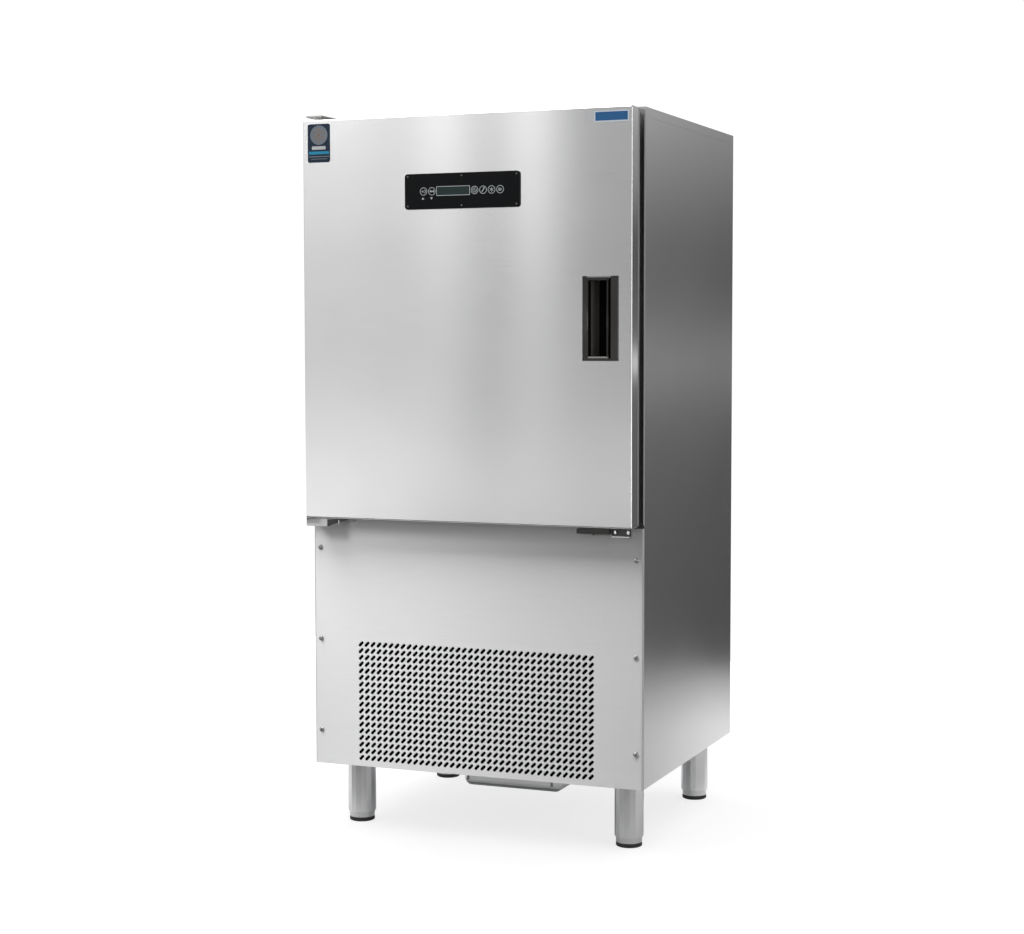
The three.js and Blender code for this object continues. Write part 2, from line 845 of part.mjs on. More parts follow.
function suctionLine() {
  const start = compressorY + compressorRadius + compressorStub + seam;
  return pipe([
    [compressorX, start, suctionHeight],
    [compressorX, coilY, suctionHeight],
    [compressorX, coilY, coilBottom - seam],
  ], suctionRadius, suctionBend);
}

function dischargeLine() {
  const start = compressorY - compressorRadius - compressorStub - seam;
  const side = condenserWidth / 2 + dischargeSide;
  const turn = condenserBack + shroudDepth + pipeRunGap;
  const middle = (condenserFront + condenserBack) / 2;
  return pipe([
    [compressorX, start, dischargeHeight],
    [compressorX, turn, dischargeHeight],
    [side, turn, dischargeHeight],
    [side, middle, dischargeHeight],
    [condenserWidth / 2 + seam, middle, dischargeHeight],
  ], dischargeRadius, dischargeBend);
}

function liquidReceiver() {
  const bottom = baseSheet + seam;
  const r = receiverRadius;
  const portRadius = liquidRadius + receiverPortWall;
  const shell = toSolid(turned([
    [0, bottom],
    [r + receiverFootReach, bottom],
    [r + receiverFootReach, bottom + receiverFoot],
    [r, bottom + receiverFoot],
    [r, receiverHeight - receiverDome],
    [r * 0.7, receiverHeight - receiverDome * 0.24],
    [portRadius, receiverHeight - receiverDome * 0.08],
    [portRadius, receiverHeight + receiverPort],
    [0, receiverHeight + receiverPort],
  ]).translate(receiverX, receiverY, 0));
  const side = -condenserWidth / 2 - dischargeSide;
  const turn = condenserBack + shroudDepth + pipeRunGap;
  const middle = (condenserFront + condenserBack) / 2;
  const inlet = pipe([
    [receiverX, receiverY, receiverInlet],
    [receiverX, turn, receiverInlet],
    [side, turn, receiverInlet],
    [side, middle, receiverInlet],
    [-condenserWidth / 2 - seam, middle, receiverInlet],
  ], liquidRadius, dischargeBend);
  return shell.add(inlet);
}

function liquidLine() {
  const line = pipe([
    [receiverX, receiverY, receiverHeight + receiverPort + seam],
    [receiverX, receiverY, liquidRise],
    [receiverX, coilY, liquidRise],
    [receiverX, coilY, coilBottom - seam],
  ], liquidRadius, liquidBend);
  const [bottom, top] = [drierBottom, drierBottom + drierLength];
  const drier = toSolid(turned([
    [0, bottom],
    [liquidRadius + stubWall, bottom],
    [drierRadius, bottom + drierCone],
    [drierRadius, top - drierCone],
    [liquidRadius + stubWall, top],
    [0, top],
  ], 16).translate(receiverX, receiverY, 0));
  return line.add(drier);
}

function electricalBox() {
  const x = [boxSideInset - halfWidth, boxSideInset - halfWidth + boxWidth];
  const y = [bodyDepth - boxBackInset - boxDepth, bodyDepth - boxBackInset];
  const z = [baseSheet + seam, boxHeight];
  const lid = block(
    [x[0] + boxLidLip, x[1] + boxLidLip],
    [y[0] + boxLidLip, y[1] - boxLidLip],
    [z[0] + 3 * boxLidLip, z[1] - boxLidLip],
  );
  return block(x, y, z).add(lid);
}

// ---- inside the chamber -------------------------------------------------------------------------
function evaporatorCoil() {
  const y = [coilY - coilDepth / 2, coilY + coilDepth / 2];
  return finnedCoil(coilWidth, y, [coilBottom, coilTop], chamberFloor + seam, coilFinPitch);
}

function fanPanel() {
  const half = fanPanelWidth / 2;
  const [bottom, top] = [chamberFloor + seam, chamberTop - seam];
  const pan = block([-half, half], [fanPanelY, fanPanelY + fanPanelReturn], [bottom, top]);
  const hollow = block(
    [sheet - half, half - sheet],
    [fanPanelY + sheet, fanPanelY + fanPanelReturn + cut],
    [bottom - cut, top + cut],
  );
  const sectors = [-1, 1].flatMap((side) => {
    return guardSectors(0, fanMiddle + (side * evaporatorFanPitch) / 2, evaporatorOpening);
  });
  return pan.subtract(hollow).subtract(prismY(sectors, [fanPanelY - cut, fanPanelY + sheet + cut], GUARD_STEPS));
}

// Two uprights against the chamber wall, and flat ledges that carry the trays.
function trayRack(side) {
  const limits = (a, b) => (side < 0 ? [-b, -a] : [a, b]);
  const front = cellFront + rackFront;
  const back = fanPanelY - rackBackGap;
  const floor = chamberFloor + uprightEndGap;
  const top = chamberTop - uprightEndGap;
  const reach = limits(trayHalfWidth, chamberX - seam);
  const uprights = [front + uprightInset, back - uprightInset - uprightDepth].map((y) => {
    return block(reach, [y, y + uprightDepth], [floor, top]);
  });
  let rack = uprights[0].add(uprights[1]);
  for (let level = 0; level < rackLevels; level += 1) {
    const z = chamberFloor + rackBottom + level * rackPitch;
    const width = limits(trayHalfWidth - ledgeWidth, trayHalfWidth + ledgeSheet);
    rack = rack.add(block(width, [front, back], [z, z + ledgeSheet]));
  }
  return rack;
}

function drainTube() {
  const inner = drainRadius - drainWall;
  const top = chamberFloor + seam + drainFlangeThickness;
  return turned([
    [inner, -drainEnd],
    [drainRadius, -drainEnd],
    [drainRadius, chamberFloor + seam],
    [drainFlange, chamberFloor + seam],
    [drainFlange, top],
    [inner, top],
  ], 16).translate(drainX, drainY, 0);
}

// ---- door ---------------------------------------------------------------------------------------
function pinHoles(growth) {
  const radius = pinRadius + growth;
  const upper = rod([pivot.x, pivot.y], [doorTop - pinReach - growth, doorTop + cut], radius);
  return upper.add(rod([pivot.x, pivot.y], [doorBottom - cut, doorBottom + pinReach + growth], radius));
}

// Space of the handle's pocket behind the door's face, and of the control module, each grown by a clearance.
function doorRecesses(growth) {
  const left = handleLeft + pocketLeft - pocketWall - growth;
  const right = handleLeft + pocketLeft + pocketWidth + pocketUndercut + pocketWall + growth;
  const half = handleHeight / 2 - pocketRim + pocketWall + growth;
  const back = doorFace - handleProud + pocketDepth + pocketWall + growth;
  const pocket = block([left, right], [doorFace - cut, back], [handleMiddle - half, handleMiddle + half]);
  const halfX = bezelWidth / 2 - moduleInset + growth;
  const halfZ = bezelHeight / 2 - moduleInset + growth;
  const module = block(
    [-halfX, halfX],
    [doorFace - cut, doorFace + moduleDepth + growth],
    [bezelMiddle - halfZ, bezelMiddle + halfZ],
  );
  return pocket.add(module);
}

function doorOuterSkin() {
  const pan = block([-doorX, doorX], [doorFace, doorBack], [doorBottom, doorTop]);
  const hollow = block(
    [sheet - doorX, doorX - sheet],
    [doorFace + sheet, doorBack + cut],
    [doorBottom + sheet, doorTop - sheet],
  );
  return pan.subtract(hollow).subtract(doorRecesses(seam)).subtract(pinHoles(pipeRoom));
}

function doorInnerLiner() {
  const x = [-doorInsideX, doorInsideX];
  const z = [doorBottom + sheet + seam, doorTop - sheet - seam];
  const half = chamberX - plugInset;
  const [bottom, top] = [chamberFloor + plugInset, chamberTop - plugInset];
  const front = doorBack - sheet;
  const back = doorBack + plugReach;
  const plate = block(x, [front, doorBack], z);
  const field = block([-half, half], [front, back], [bottom, top]);
  const hollow = block(
    [sheet - half, half - sheet],
    [front - cut, back - sheet],
    [bottom + sheet, top - sheet],
  );
  return plate.add(field).subtract(hollow);
}

function doorInsulation() {
  const foamBlock = block(
    [-doorInsideX, doorInsideX],
    [doorFace + sheet + seam, doorBack - sheet - seam],
    [doorBottom + sheet + seam, doorTop - sheet - seam],
  );
  return foamBlock.subtract(doorRecesses(2 * seam)).subtract(pinHoles(1));
}

// Rectangular ring whose inner edge is a distance outside the chamber opening.
function sealRing(inner, width, [y0, y1]) {
  const frame = (growth, limits) => block(
    [-chamberX - growth, chamberX + growth],
    limits,
    [chamberFloor - growth, chamberTop + growth],
  );
  return frame(inner + width, [y0, y1]).subtract(frame(inner, [y0 - cut, y1 + cut]));
}

// Flat foot on the door, a narrower bellows and the magnet bulb that meets the frame.
function doorGasket() {
  const foot = doorBack + seam;
  const neck = foot + gasketFoot;
  const bulb = neck + gasketNeck;
  const face = frontSetback - seam;
  return sealRing(gasketLap, gasketWidth, [foot, neck])
    .add(sealRing(gasketLap + gasketNeckInset, gasketWidth - 2 * gasketNeckInset, [neck - 1, bulb + 1]))
    .add(sealRing(gasketLap + gasketBulbInset, gasketWidth - 2 * gasketBulbInset, [bulb, face]));
}

function doorHandle() {
  const face = doorFace - handleProud;
  const left = handleLeft + pocketLeft;
  const right = left + pocketWidth;
  const half = handleHeight / 2;
  const pocketHalf = half - pocketRim;
  const flange = block(
    [handleLeft, handleLeft + handleWidth],
    [face, doorFace - seam],
    [handleMiddle - half, handleMiddle + half],
  );
  const pocketZ = [handleMiddle - pocketHalf, handleMiddle + pocketHalf];
  const box = block(
    [left - pocketWall, right + pocketUndercut + pocketWall],
    [face + sheet / 2, face + pocketDepth + pocketWall],
    [pocketZ[0] - pocketWall, pocketZ[1] + pocketWall],
  );
  const mouth = block([left, right], [face - cut, face + pocketDepth], pocketZ);
  const undercut = block([left, right + pocketUndercut], [face + pocketLip, face + pocketDepth], pocketZ);
  return flange.add(box).subtract(mouth).subtract(undercut);
}

function controlBezel() {
  const x = [-bezelWidth / 2, bezelWidth / 2];
  const z = [bezelMiddle - bezelHeight / 2, bezelMiddle + bezelHeight / 2];
  const plate = prismY(roundedRectangle(x, z, bezelCorner), [bezelFace, doorFace - seam]);
  const halfX = bezelWidth / 2 - moduleInset;
  const halfZ = bezelHeight / 2 - moduleInset;
  const module = block(
    [-halfX, halfX],
    [doorFace - cut, doorFace + moduleDepth],
    [bezelMiddle - halfZ, bezelMiddle + halfZ],
  );
  const windowRecess = block(
    [displayLeft, displayRight],
    [bezelFace - cut, bezelFace + displayThickness + seam],
    [bezelMiddle - displayHeight / 2, bezelMiddle + displayHeight / 2],
  );
  const keyDepth = keyThickness + keyTravel + keyRoom;
  const wells = keyPlaces.map((place) => {
    return rodY([place, bezelMiddle], [bezelFace - cut, bezelFace + keyDepth], keyRadius + seam);
  });
  return wells.reduce((panel, well) => panel.subtract(well), plate.add(module).subtract(windowRecess));
}

function displayWindow() {
  const half = displayHeight / 2 - seam;
  return block(
    [displayLeft + seam, displayRight - seam],
    [bezelFace, bezelFace + displayThickness],
    [bezelMiddle - half, bezelMiddle + half],
  );
}

// ---- hinges, switch and catch --------------------------------------------------------------------------------
function upperHingeBracket() {
  const x = [pivot.x + upperPlateLeft, pivot.x + upperPlateRight];
  const z0 = doorTop + upperPlateLift;
  const footBack = frontSetback + upperFootStart + upperFootDepth;
  const plate = block(x, [pivot.y - upperPlateOverhang, footBack], [z0, z0 + upperPlate]);
  const foot = block(x, [frontSetback + upperFootStart, footBack], [bodyHeight + seam, z0 + 1]);
  const hole = rod([pivot.x, pivot.y], [z0 - cut, z0 + upperPlate + cut], pinRadius + seam);
  return plate.add(foot).subtract(hole);
}

function upperHingePin() {
  const top = doorTop + upperPlateLift + upperPlate;
  return rod([pivot.x, pivot.y], [doorTop - pinReach, top], pinRadius);
}

function lowerHingeBracket() {
  const x = [pivot.x + lowerPlateLeft, pivot.x + lowerPlateRight];
  const front = pivot.y - lowerPlateOverhang;
  const back = frontSetback - seam;
  const bottom = lowerPanelTop + pipeRoom;
  const top = bottom + lowerPlate;
  const plate = block(x, [front, back], [bottom, top]);
  const lip = block(x, [front, front + lowerPlate], [top - lowerLip, top]);
  const flangeOutline = polygon([
    [front, top - lowerLip],
    [-seam, top - lowerFlangeEnd],
    [-seam, top],
    [front, top],
  ]);
  const flange = prismX(flangeOutline, [x[1] - lowerPlate, x[1]]);
  const upstand = block(x, [back - lowerPlate, back], [bottom, bottom + lowerBackFlange]);
  const hole = rod([pivot.x, pivot.y], [bottom - cut, top + cut], pinRadius + seam);
  return plate.add(lip).add(flange).add(upstand).subtract(hole);
}

function lowerHingePin() {
  const bottom = lowerPanelTop + pipeRoom;
  const seat = bottom + lowerPlate + seam;
  return turned([
    [0, bottom],
    [pinRadius, bottom],
    [pinRadius, seat],
    [pinCollar, seat],
    [pinCollar, doorBottom - seam],
    [pinRadius, doorBottom - seam],
    [pinRadius, doorBottom + pinReach],
    [0, doorBottom + pinReach],
  ]).translate(pivot.x, pivot.y, 0);
}

function doorSwitch() {
  const top = lowerPanelTop - switchDrop;
  const housing = block([switchLeft, switchRight], [-switchDepth - seam, -seam], [top - switchHeight, top]);
  const middle = (switchLeft + switchRight) / 2;
  const lever = polygon([
    [middle - leverHalf, top - switchHeight + 1],
    [middle, top - switchHeight - leverDrop],
    [middle + leverHalf, top - switchHeight + 1],
  ]);
  return housing.add(prismY(lever, [leverInset - switchDepth, -2 * leverInset]));
}

function doorCatch() {
  const top = lowerPanelTop - switchDrop;
  const bottom = top - catchHeight;
  const back = block([catchLeft, catchRight], [-catchSheet - seam, -seam], [bottom, top]);
  const shelf = block([catchLeft, catchRight], [-catchDepth - seam, -seam], [bottom, bottom + catchSheet]);
  const stud = (x) => rod([x, -catchDepth / 2 - seam - 1], [bottom + 1, top - 3], studRadius, 12);
  return back
    .add(shelf)
    .add(stud(catchLeft + studInset))
    .add(stud(catchRight - studInset));
}

// ---- under the body -----------------------------------------------------------------------------
// The tray's outside, or its inside where it is drawn in by the sheet: round in plan and along its bottom edges.
function trayBody(inset, top) {
  const x = [inset - trayWidth / 2, trayWidth / 2 - inset];
  const y = [trayFront + inset, trayFront + trayDepth - inset];
  const z = [inset - trayBottom, top];
  const bottomRound = trayBottomCorner - inset;
  const raised = z[1] + bottomRound; // keeps the upper corners square
  return prismZ(roundedRectangle(x, y, trayCorner - inset), z)
    .intersect(prismY(roundedRectangle(x, [z[0], raised], bottomRound), y))
    .intersect(prismX(roundedRectangle(y, [z[0], raised], bottomRound), x));
}

function condensateTray() {
  const half = trayWidth / 2;
  const y = [trayFront, trayFront + trayDepth];
  const pan = trayBody(0, -trayTop);
  const hollow = trayBody(sheet, cut - trayTop);
  const rimY = [y[0] + trayCorner + trayRimInset, y[1] - trayCorner - trayRimInset];
  const rimZ = [-trayTop - sheet, -trayTop];
  return pan
    .subtract(hollow)
    .add(block([half - sheet, half + trayRim], rimY, rimZ))
    .add(block([-half - trayRim, sheet - half], rimY, rimZ));
}

// Angle rail screwed under the base: its ledge carries the tray's rim.
function trayRunner(side) {
  const rimBottom = -trayTop - sheet;
  const inner = trayWidth / 2 + runnerRoom;
  const web = trayWidth / 2 + trayRim + runnerRoom;
  const ledgeTop = rimBottom - seam;
  const outline = polygon([
    [side * inner, ledgeTop - sheet],
    [side * (web + sheet), ledgeTop - sheet],
    [side * (web + sheet), -seam - sheet],
    [side * (web + runnerFlange), -seam - sheet],
    [side * (web + runnerFlange), -seam],
    [side * web, -seam],
    [side * web, ledgeTop],
    [side * inner, ledgeTop],
  ]);
  return prismY(outline, [runnerFront, bodyDepth - runnerBackInset]);
}

function cordGland() {
  const outside = bodyDepth + seam;
  const inside = backInside;
  return turnedY([
    [glandBore, inside - glandInnerNut],
    [glandNut, inside - glandInnerNut],
    [glandNut, inside],
    [glandThread, inside],
    [glandThread, outside],
    [glandNut, outside],
    [glandNut, outside + glandCollar],
    [glandNut - glandDome, outside + glandCollar + glandDome],
    [glandThread, bodyDepth + glandReach],
    [glandBore, bodyDepth + glandReach],
  ], 16).translate(halfWidth - glandInset, 0, glandHeight);
}

// ---- assembly -----------------------------------------------------------------------------------
const part = new THREE.Group();
const body = new THREE.Group();
body.position.set(0, -centreY, legHeight);
part.add(body);

function addCabinet() {
  body.add(mesh('base_chassis', baseChassis(), galvanised));
  body.add(mesh('side_panel_left', sidePanel(-1), brushedSteel));
  body.add(mesh('side_panel_right', sidePanel(1), brushedSteel));
  body.add(mesh('back_panel', backPanel(), brushedSteel));
  body.add(mesh('top_cover', topCover(), brushedSteel));
  body.add(mesh('cell_floor_sheet', cellFloor(), galvanised));
  body.add(mesh('chamber_liner', chamberLiner(), brightSteel));
  body.add(mesh('cabinet_insulation', cabinetInsulation(), foam));
  body.add(mesh('front_frame', frontFrame(), brushedSteel));
  body.add(mesh('lower_front_panel', lowerFrontPanel(), brushedSteel));
}

function addLegs() {
  const places = {
    front_left: [legInsetX - halfWidth, legInsetFront],
    front_right: [halfWidth - legInsetX, legInsetFront],
    back_left: [legInsetX - halfWidth, bodyDepth - legInsetBack],
    back_right: [halfWidth - legInsetX, bodyDepth - legInsetBack],
  };
  Object.entries(places).forEach(([name, [x, y]]) => {
    const leg = new THREE.Group();
    leg.position.set(x, y, 0);
    leg.add(mesh(`leg_sleeve_${name}`, legSleeve(), brightSteel));
    leg.add(mesh(`leveling_foot_${name}`, levelingFoot(), rubber));
    body.add(leg);
  });
}

// A motor on a guard plate, and its fan behind it.
function addFan(prefix, [y, z], radius, motorRadius, motorLength, fanName, motorName) {
  const unit = new THREE.Group();
  unit.position.set(0, y + seam, z);
  unit.add(mesh(motorName, fanMotor(motorRadius, motorLength), blackPaint));
  const fan = mesh(fanName, axialFan(radius), aluminium);
  fan.position.y = motorLength + hubGap;
  unit.add(fan);
  body.add(unit);
}

function addMachineCompartment() {
  body.add(mesh('condenser_coil', condenserCoil(), aluminium));
  body.add(mesh('condenser_shroud', condenserShroud(), galvanised));
  addFan(
    'condenser',
    [condenserBack + seam + shroudDepth, condenserMiddle],
    condenserFanRadius,
    condenserMotorRadius,
    condenserMotorLength,
    'condenser_fan',
    'condenser_fan_motor',
  );
  body.add(mesh('compressor', compressor(), blackPaint));
  body.add(mesh('suction_line', suctionLine(), copper));
  body.add(mesh('discharge_line', dischargeLine(), copper));
  body.add(mesh('liquid_receiver', liquidReceiver(), blackPaint));
  body.add(mesh('liquid_line_drier', liquidLine(), copper));
  body.add(mesh('electrical_box', electricalBox(), greyPlastic));
}

function addChamber() {
  body.add(mesh('evaporator_coil', evaporatorCoil(), aluminium));
  body.add(mesh('evaporator_fan_panel', fanPanel(), brightSteel));
  [['lower', -1], ['upper', 1]].forEach(([name, side]) => {
    addFan(
      name,
      [fanPanelY + sheet, fanMiddle + (side * evaporatorFanPitch) / 2],
      evaporatorFanRadius,
      evaporatorMotorRadius,
      evaporatorMotorLength,
      `evaporator_fan_${name}`,
      `evaporator_fan_motor_${name}`,
    );
  });
  body.add(mesh('tray_rack_left', trayRack(-1), brightSteel));
  body.add(mesh('tray_rack_right', trayRack(1), brightSteel));
  body.add(mesh('drain_tube', drainTube(), brightSteel));
}

function addDoor() {
  const door = new THREE.Group();
  door.add(mesh('door_outer_skin', doorOuterSkin(), brushedSteel));
  door.add(mesh('door_inner_liner', doorInnerLiner(), brightSteel));
  door.add(mesh('door_insulation', doorInsulation(), foam));
  door.add(mesh('door_gasket', doorGasket(), greyGasket));
  door.add(mesh('door_handle', doorHandle(), blackPlastic));
  door.add(mesh('control_bezel', controlBezel(), glossBlack));
  door.add(mesh('display_window', displayWindow(), displayGreen));
  keyPlaces.forEach((place, index) => {
    const key = rodY([0, 0], [0, keyThickness], keyRadius);
    const placed = mesh(`control_key_${index + 1}`, key, glossBlack);
    placed.position.set(place, bezelFace, bezelMiddle);
    door.add(placed);
  });
  body.add(door);
}

function addFittings() {
  body.add(mesh('upper_hinge_bracket', upperHingeBracket(), brightSteel));
  body.add(mesh('upper_hinge_pin', upperHingePin(), brightSteel));
  body.add(mesh('lower_hinge_bracket', lowerHingeBracket(), brightSteel));
  body.add(mesh('lower_hinge_pin', lowerHingePin(), brightSteel));
  body.add(mesh('door_switch', doorSwitch(), blackPlastic));
  body.add(mesh('door_catch', doorCatch(), brightSteel));
  body.add(mesh('condensate_tray', condensateTray(), brightSteel));
  body.add(mesh('tray_runner_left', trayRunner(-1), galvanised));
  body.add(mesh('tray_runner_right', trayRunner(1), galvanised));
  body.add(mesh('cord_gland', cordGland(), greyPlastic));
}

addCabinet();
addLegs();
addMachineCompartment();
addChamber();
addDoor();
addFittings();

export default part;
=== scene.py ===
"""Looks of an upright blast chiller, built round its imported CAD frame. Metres, row frame.

Places are given in millimetres in the body's own frame: X right, Y into the depth, Z up, from the middle of
the lower panel's face at the body's bottom edge. at() turns them into the row frame.
"""
import json
import math

import bmesh
import bpy
from mathutils import Matrix, Vector


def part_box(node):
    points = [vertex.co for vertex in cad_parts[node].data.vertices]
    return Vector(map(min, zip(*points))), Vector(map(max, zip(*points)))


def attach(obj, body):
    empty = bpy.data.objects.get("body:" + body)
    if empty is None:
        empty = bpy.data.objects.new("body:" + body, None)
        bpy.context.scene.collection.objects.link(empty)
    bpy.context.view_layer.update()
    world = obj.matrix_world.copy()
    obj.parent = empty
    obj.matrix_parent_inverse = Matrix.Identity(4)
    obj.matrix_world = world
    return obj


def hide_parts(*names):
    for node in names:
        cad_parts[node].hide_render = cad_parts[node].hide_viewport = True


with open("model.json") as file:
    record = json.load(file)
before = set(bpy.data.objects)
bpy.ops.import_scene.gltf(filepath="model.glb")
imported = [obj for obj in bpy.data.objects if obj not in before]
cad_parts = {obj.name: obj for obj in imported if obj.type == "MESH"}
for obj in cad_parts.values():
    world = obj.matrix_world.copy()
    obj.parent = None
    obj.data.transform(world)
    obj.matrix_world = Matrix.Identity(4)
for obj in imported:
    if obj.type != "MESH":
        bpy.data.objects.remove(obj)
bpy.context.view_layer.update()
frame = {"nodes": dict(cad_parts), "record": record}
scene = bpy.context.scene

panel_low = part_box("lower_front_panel")[0]
ORIGIN = Vector((0.0, panel_low.y, panel_low.z))
MM = 0.001


def at(x, y, z):
    return ORIGIN + Vector((x, y, z)) * MM


# Main measures in mm.
SHEET = 1.5
PANEL_HALF, PANEL_TOP = 395, 566
DOOR_HALF, DOOR_BOTTOM, DOOR_TOP, DOOR_FACE, DOOR_BACK = 387, 570, 1457, -56, -8.4
KEYS_Z = 1291  # middle height of the display and the keys


# ---- materials -----------------------------------------------------------------------------------
def socket_value(socket, value):
    """Links a socket to another one, or gives it a plain value."""
    if isinstance(value, bpy.types.NodeSocket):
        socket.id_data.links.new(value, socket)
    else:
        socket.default_value = value


def add_node(tree, kind, inputs=None, **settings):
    made = tree.nodes.new(kind)
    for key, value in settings.items():
        setattr(made, key, value)
    for key, value in (inputs or {}).items():
        socket_value(made.inputs[key], value)
    return made


def stops(ramp_node, values):
    """Sets a colour ramp's (position, grey) stops."""
    elements = ramp_node.color_ramp.elements
    while len(elements) < len(values):
        elements.new(0.5)
    for element, (position, value) in zip(elements, values):
        element.position = position
        element.color = (value, value, value, 1)


class Maker:
    """A material with one Principled shader and short calls for the nodes round it."""

    def __init__(self, name, **settings):
        self.material = bpy.data.materials.new(name)
        self.material.use_nodes = True
        self.tree = self.material.node_tree
        self.shader = self.tree.nodes["Principled BSDF"]
        self.coords = self.tree.nodes.new("ShaderNodeTexCoord")
        for key, value in settings.items():
            self.set(key.title(), value)

    def set(self, name, value):
        if isinstance(value, (tuple, list)) and len(value) == 3:
            value = (*value, 1.0)
        socket_value(self.shader.inputs[name], value)

    def node(self, kind, inputs=None, **settings):
        return add_node(self.tree, kind, inputs, **settings)

    def noise(self, scale, stretch=(1, 1, 1), detail=3.0):
        mapping = self.node("ShaderNodeMapping", {"Vector": self.coords.outputs["Object"], "Scale": stretch})
        made = self.node("ShaderNodeTexNoise", {"Vector": mapping.outputs["Vector"], "Scale": scale,
                                                "Detail": detail, "Roughness": 0.55})
        return made.outputs["Fac"]

    def ranged(self, value, low, high, lowest=0.3, highest=0.7):
        made = self.node("ShaderNodeMapRange", {"Value": value, "From Min": lowest, "From Max": highest,
                                                "To Min": low, "To Max": high})
        return made.outputs["Result"]

    def blend(self, factor, first, second):
        made = self.node("ShaderNodeMix", data_type="RGBA")
        socket_value(made.inputs["Factor"], factor)
        socket_value(made.inputs[6], (*first, 1.0))
        socket_value(made.inputs[7], (*second, 1.0))
        return made.outputs[2]

    def tint(self, factor, tone, darkest, brightest=1.0):
        """Base colour between two shares of a tone."""
        dark, bright = (tuple(min(c * share, 1.0) for c in tone) for share in (darkest, brightest))
        self.set("Base Color", self.blend(factor, dark, bright))

    def bump(self, height, distance):
        made = self.node("ShaderNodeBump", {"Height": height, "Distance": distance, "Strength": 1.0})
        self.set("Normal", made.outputs["Normal"])


def steel(name, tone, roughness, anisotropy=0.0, grain=(14, 14, 1500), grain_depth=1.5e-6,
          side_roughness=None):
    """Brushed sheet: the grain lies across the sheet, so reflections draw out up and down."""
    made = Maker(name, metallic=1.0, roughness=roughness)
    streaks = made.noise(1.0, grain, 2.0)
    clouds = made.noise(3.0)
    made.tint(made.ranged(streaks, 0.0, 1.0), tone, 0.97, 1.01)
    level = made.ranged(streaks, roughness - 0.01, roughness + 0.01)
    if side_roughness is not None:
        facing = made.node("ShaderNodeSeparateXYZ", {"Vector": made.coords.outputs["Normal"]})
        sideways = made.node("ShaderNodeMath", {0: facing.outputs["X"]}, operation="ABSOLUTE")
        choice = made.ranged(sideways.outputs[0], 0.0, 1.0, 0.6, 0.9)
        chosen = made.node("ShaderNodeMix", {"Factor": choice, "A": level, "B": side_roughness})
        level = chosen.outputs["Result"]
    mixed = made.node("ShaderNodeMath", {0: level, 1: made.ranged(clouds, -0.01, 0.012)}, operation="ADD")
    made.set("Roughness", mixed.outputs[0])
    made.bump(streaks, grain_depth)
    if anisotropy:
        made.set("Anisotropic", anisotropy)
        tangent = made.node("ShaderNodeCombineXYZ", {"X": 0.02, "Y": 0.0, "Z": 1.0})
        made.set("Tangent", tangent.outputs["Vector"])
    return made.material


def galvanised(name, tone):
    made = Maker(name, metallic=1.0, roughness=0.45)
    cells = made.node("ShaderNodeTexVoronoi", {"Vector": made.coords.outputs["Object"], "Scale": 90.0})
    parts = made.node("ShaderNodeSeparateColor", {"Color": cells.outputs["Color"]})
    flake = parts.outputs["Red"]
    made.tint(flake, tone, 0.84, 1.08)
    made.set("Roughness", made.ranged(flake, 0.36, 0.52, 0.0, 1.0))
    made.bump(made.noise(160.0), 8e-6)
    return made.material


def finned(name, tone):
    """Thin upright fins, close together, with painted shade in the gaps between them."""
    made = Maker(name, metallic=1.0, roughness=0.4)
    scale = 267.38  # one fin every 1.2 mm
    wave = made.node("ShaderNodeTexWave", {"Vector": made.coords.outputs["Object"], "Scale": scale,
                                           "Distortion": 0.6, "Detail": 1.0, "Detail Scale": 3.0},
                     wave_type="BANDS", bands_direction="X", wave_profile="SIN")
    # The dark bands between the fins are painted shade.
    made.tint(wave.outputs["Fac"], tone, 0.35)
    made.bump(wave.outputs["Fac"], 6e-4)
    return made.material


def plain_metal(name, tone, roughness):
    made = Maker(name, metallic=1.0, roughness=roughness)
    clouds = made.noise(14.0, detail=4.0)
    made.tint(made.ranged(clouds, 0.0, 1.0), tone, 0.9)
    made.set("Roughness", made.ranged(clouds, roughness - 0.05, roughness + 0.06))
    made.bump(made.noise(300.0), 6e-6)
    return made.material


def copper(name):
    made = Maker(name, metallic=1.0, roughness=0.3)
    patches = made.noise(22.0, detail=5.0)
    made.set("Base Color", made.blend(made.ranged(patches, 0.0, 1.0), (0.42, 0.2, 0.12), (0.72, 0.4, 0.28)))
    made.set("Roughness", made.ranged(patches, 0.24, 0.46))
    made.bump(made.noise(240.0), 8e-6)
    return made.material


def plastic(name, tone, roughness, grain=900.0, depth=1.2e-5, coat=0.0, shine=0.5):
    """Moulded plastic, rubber, enamel or print: depth 0 leaves it without a grain."""
    made = Maker(name, roughness=roughness)
    made.set("Specular IOR Level", shine)
    haze = made.noise(12.0, detail=4.0)
    made.tint(made.ranged(haze, 0.0, 1.0), tone, 0.85)
    made.set("Roughness", made.ranged(haze, roughness - 0.03, roughness + 0.05))
    if coat:
        made.set("Coat Weight", coat)
        made.set("Coat Roughness", 0.06)
    if depth:
        made.bump(made.noise(grain, detail=2.0), depth)
    return made.material


def foam(name):
    made = Maker(name, roughness=0.95)
    pores = made.node("ShaderNodeTexVoronoi", {"Vector": made.coords.outputs["Object"], "Scale": 420.0})
    made.set("Base Color", made.blend(pores.outputs["Distance"], (0.8, 0.7, 0.42), (0.92, 0.85, 0.6)))
    made.bump(pores.outputs["Distance"], 4e-4)
    return made.material


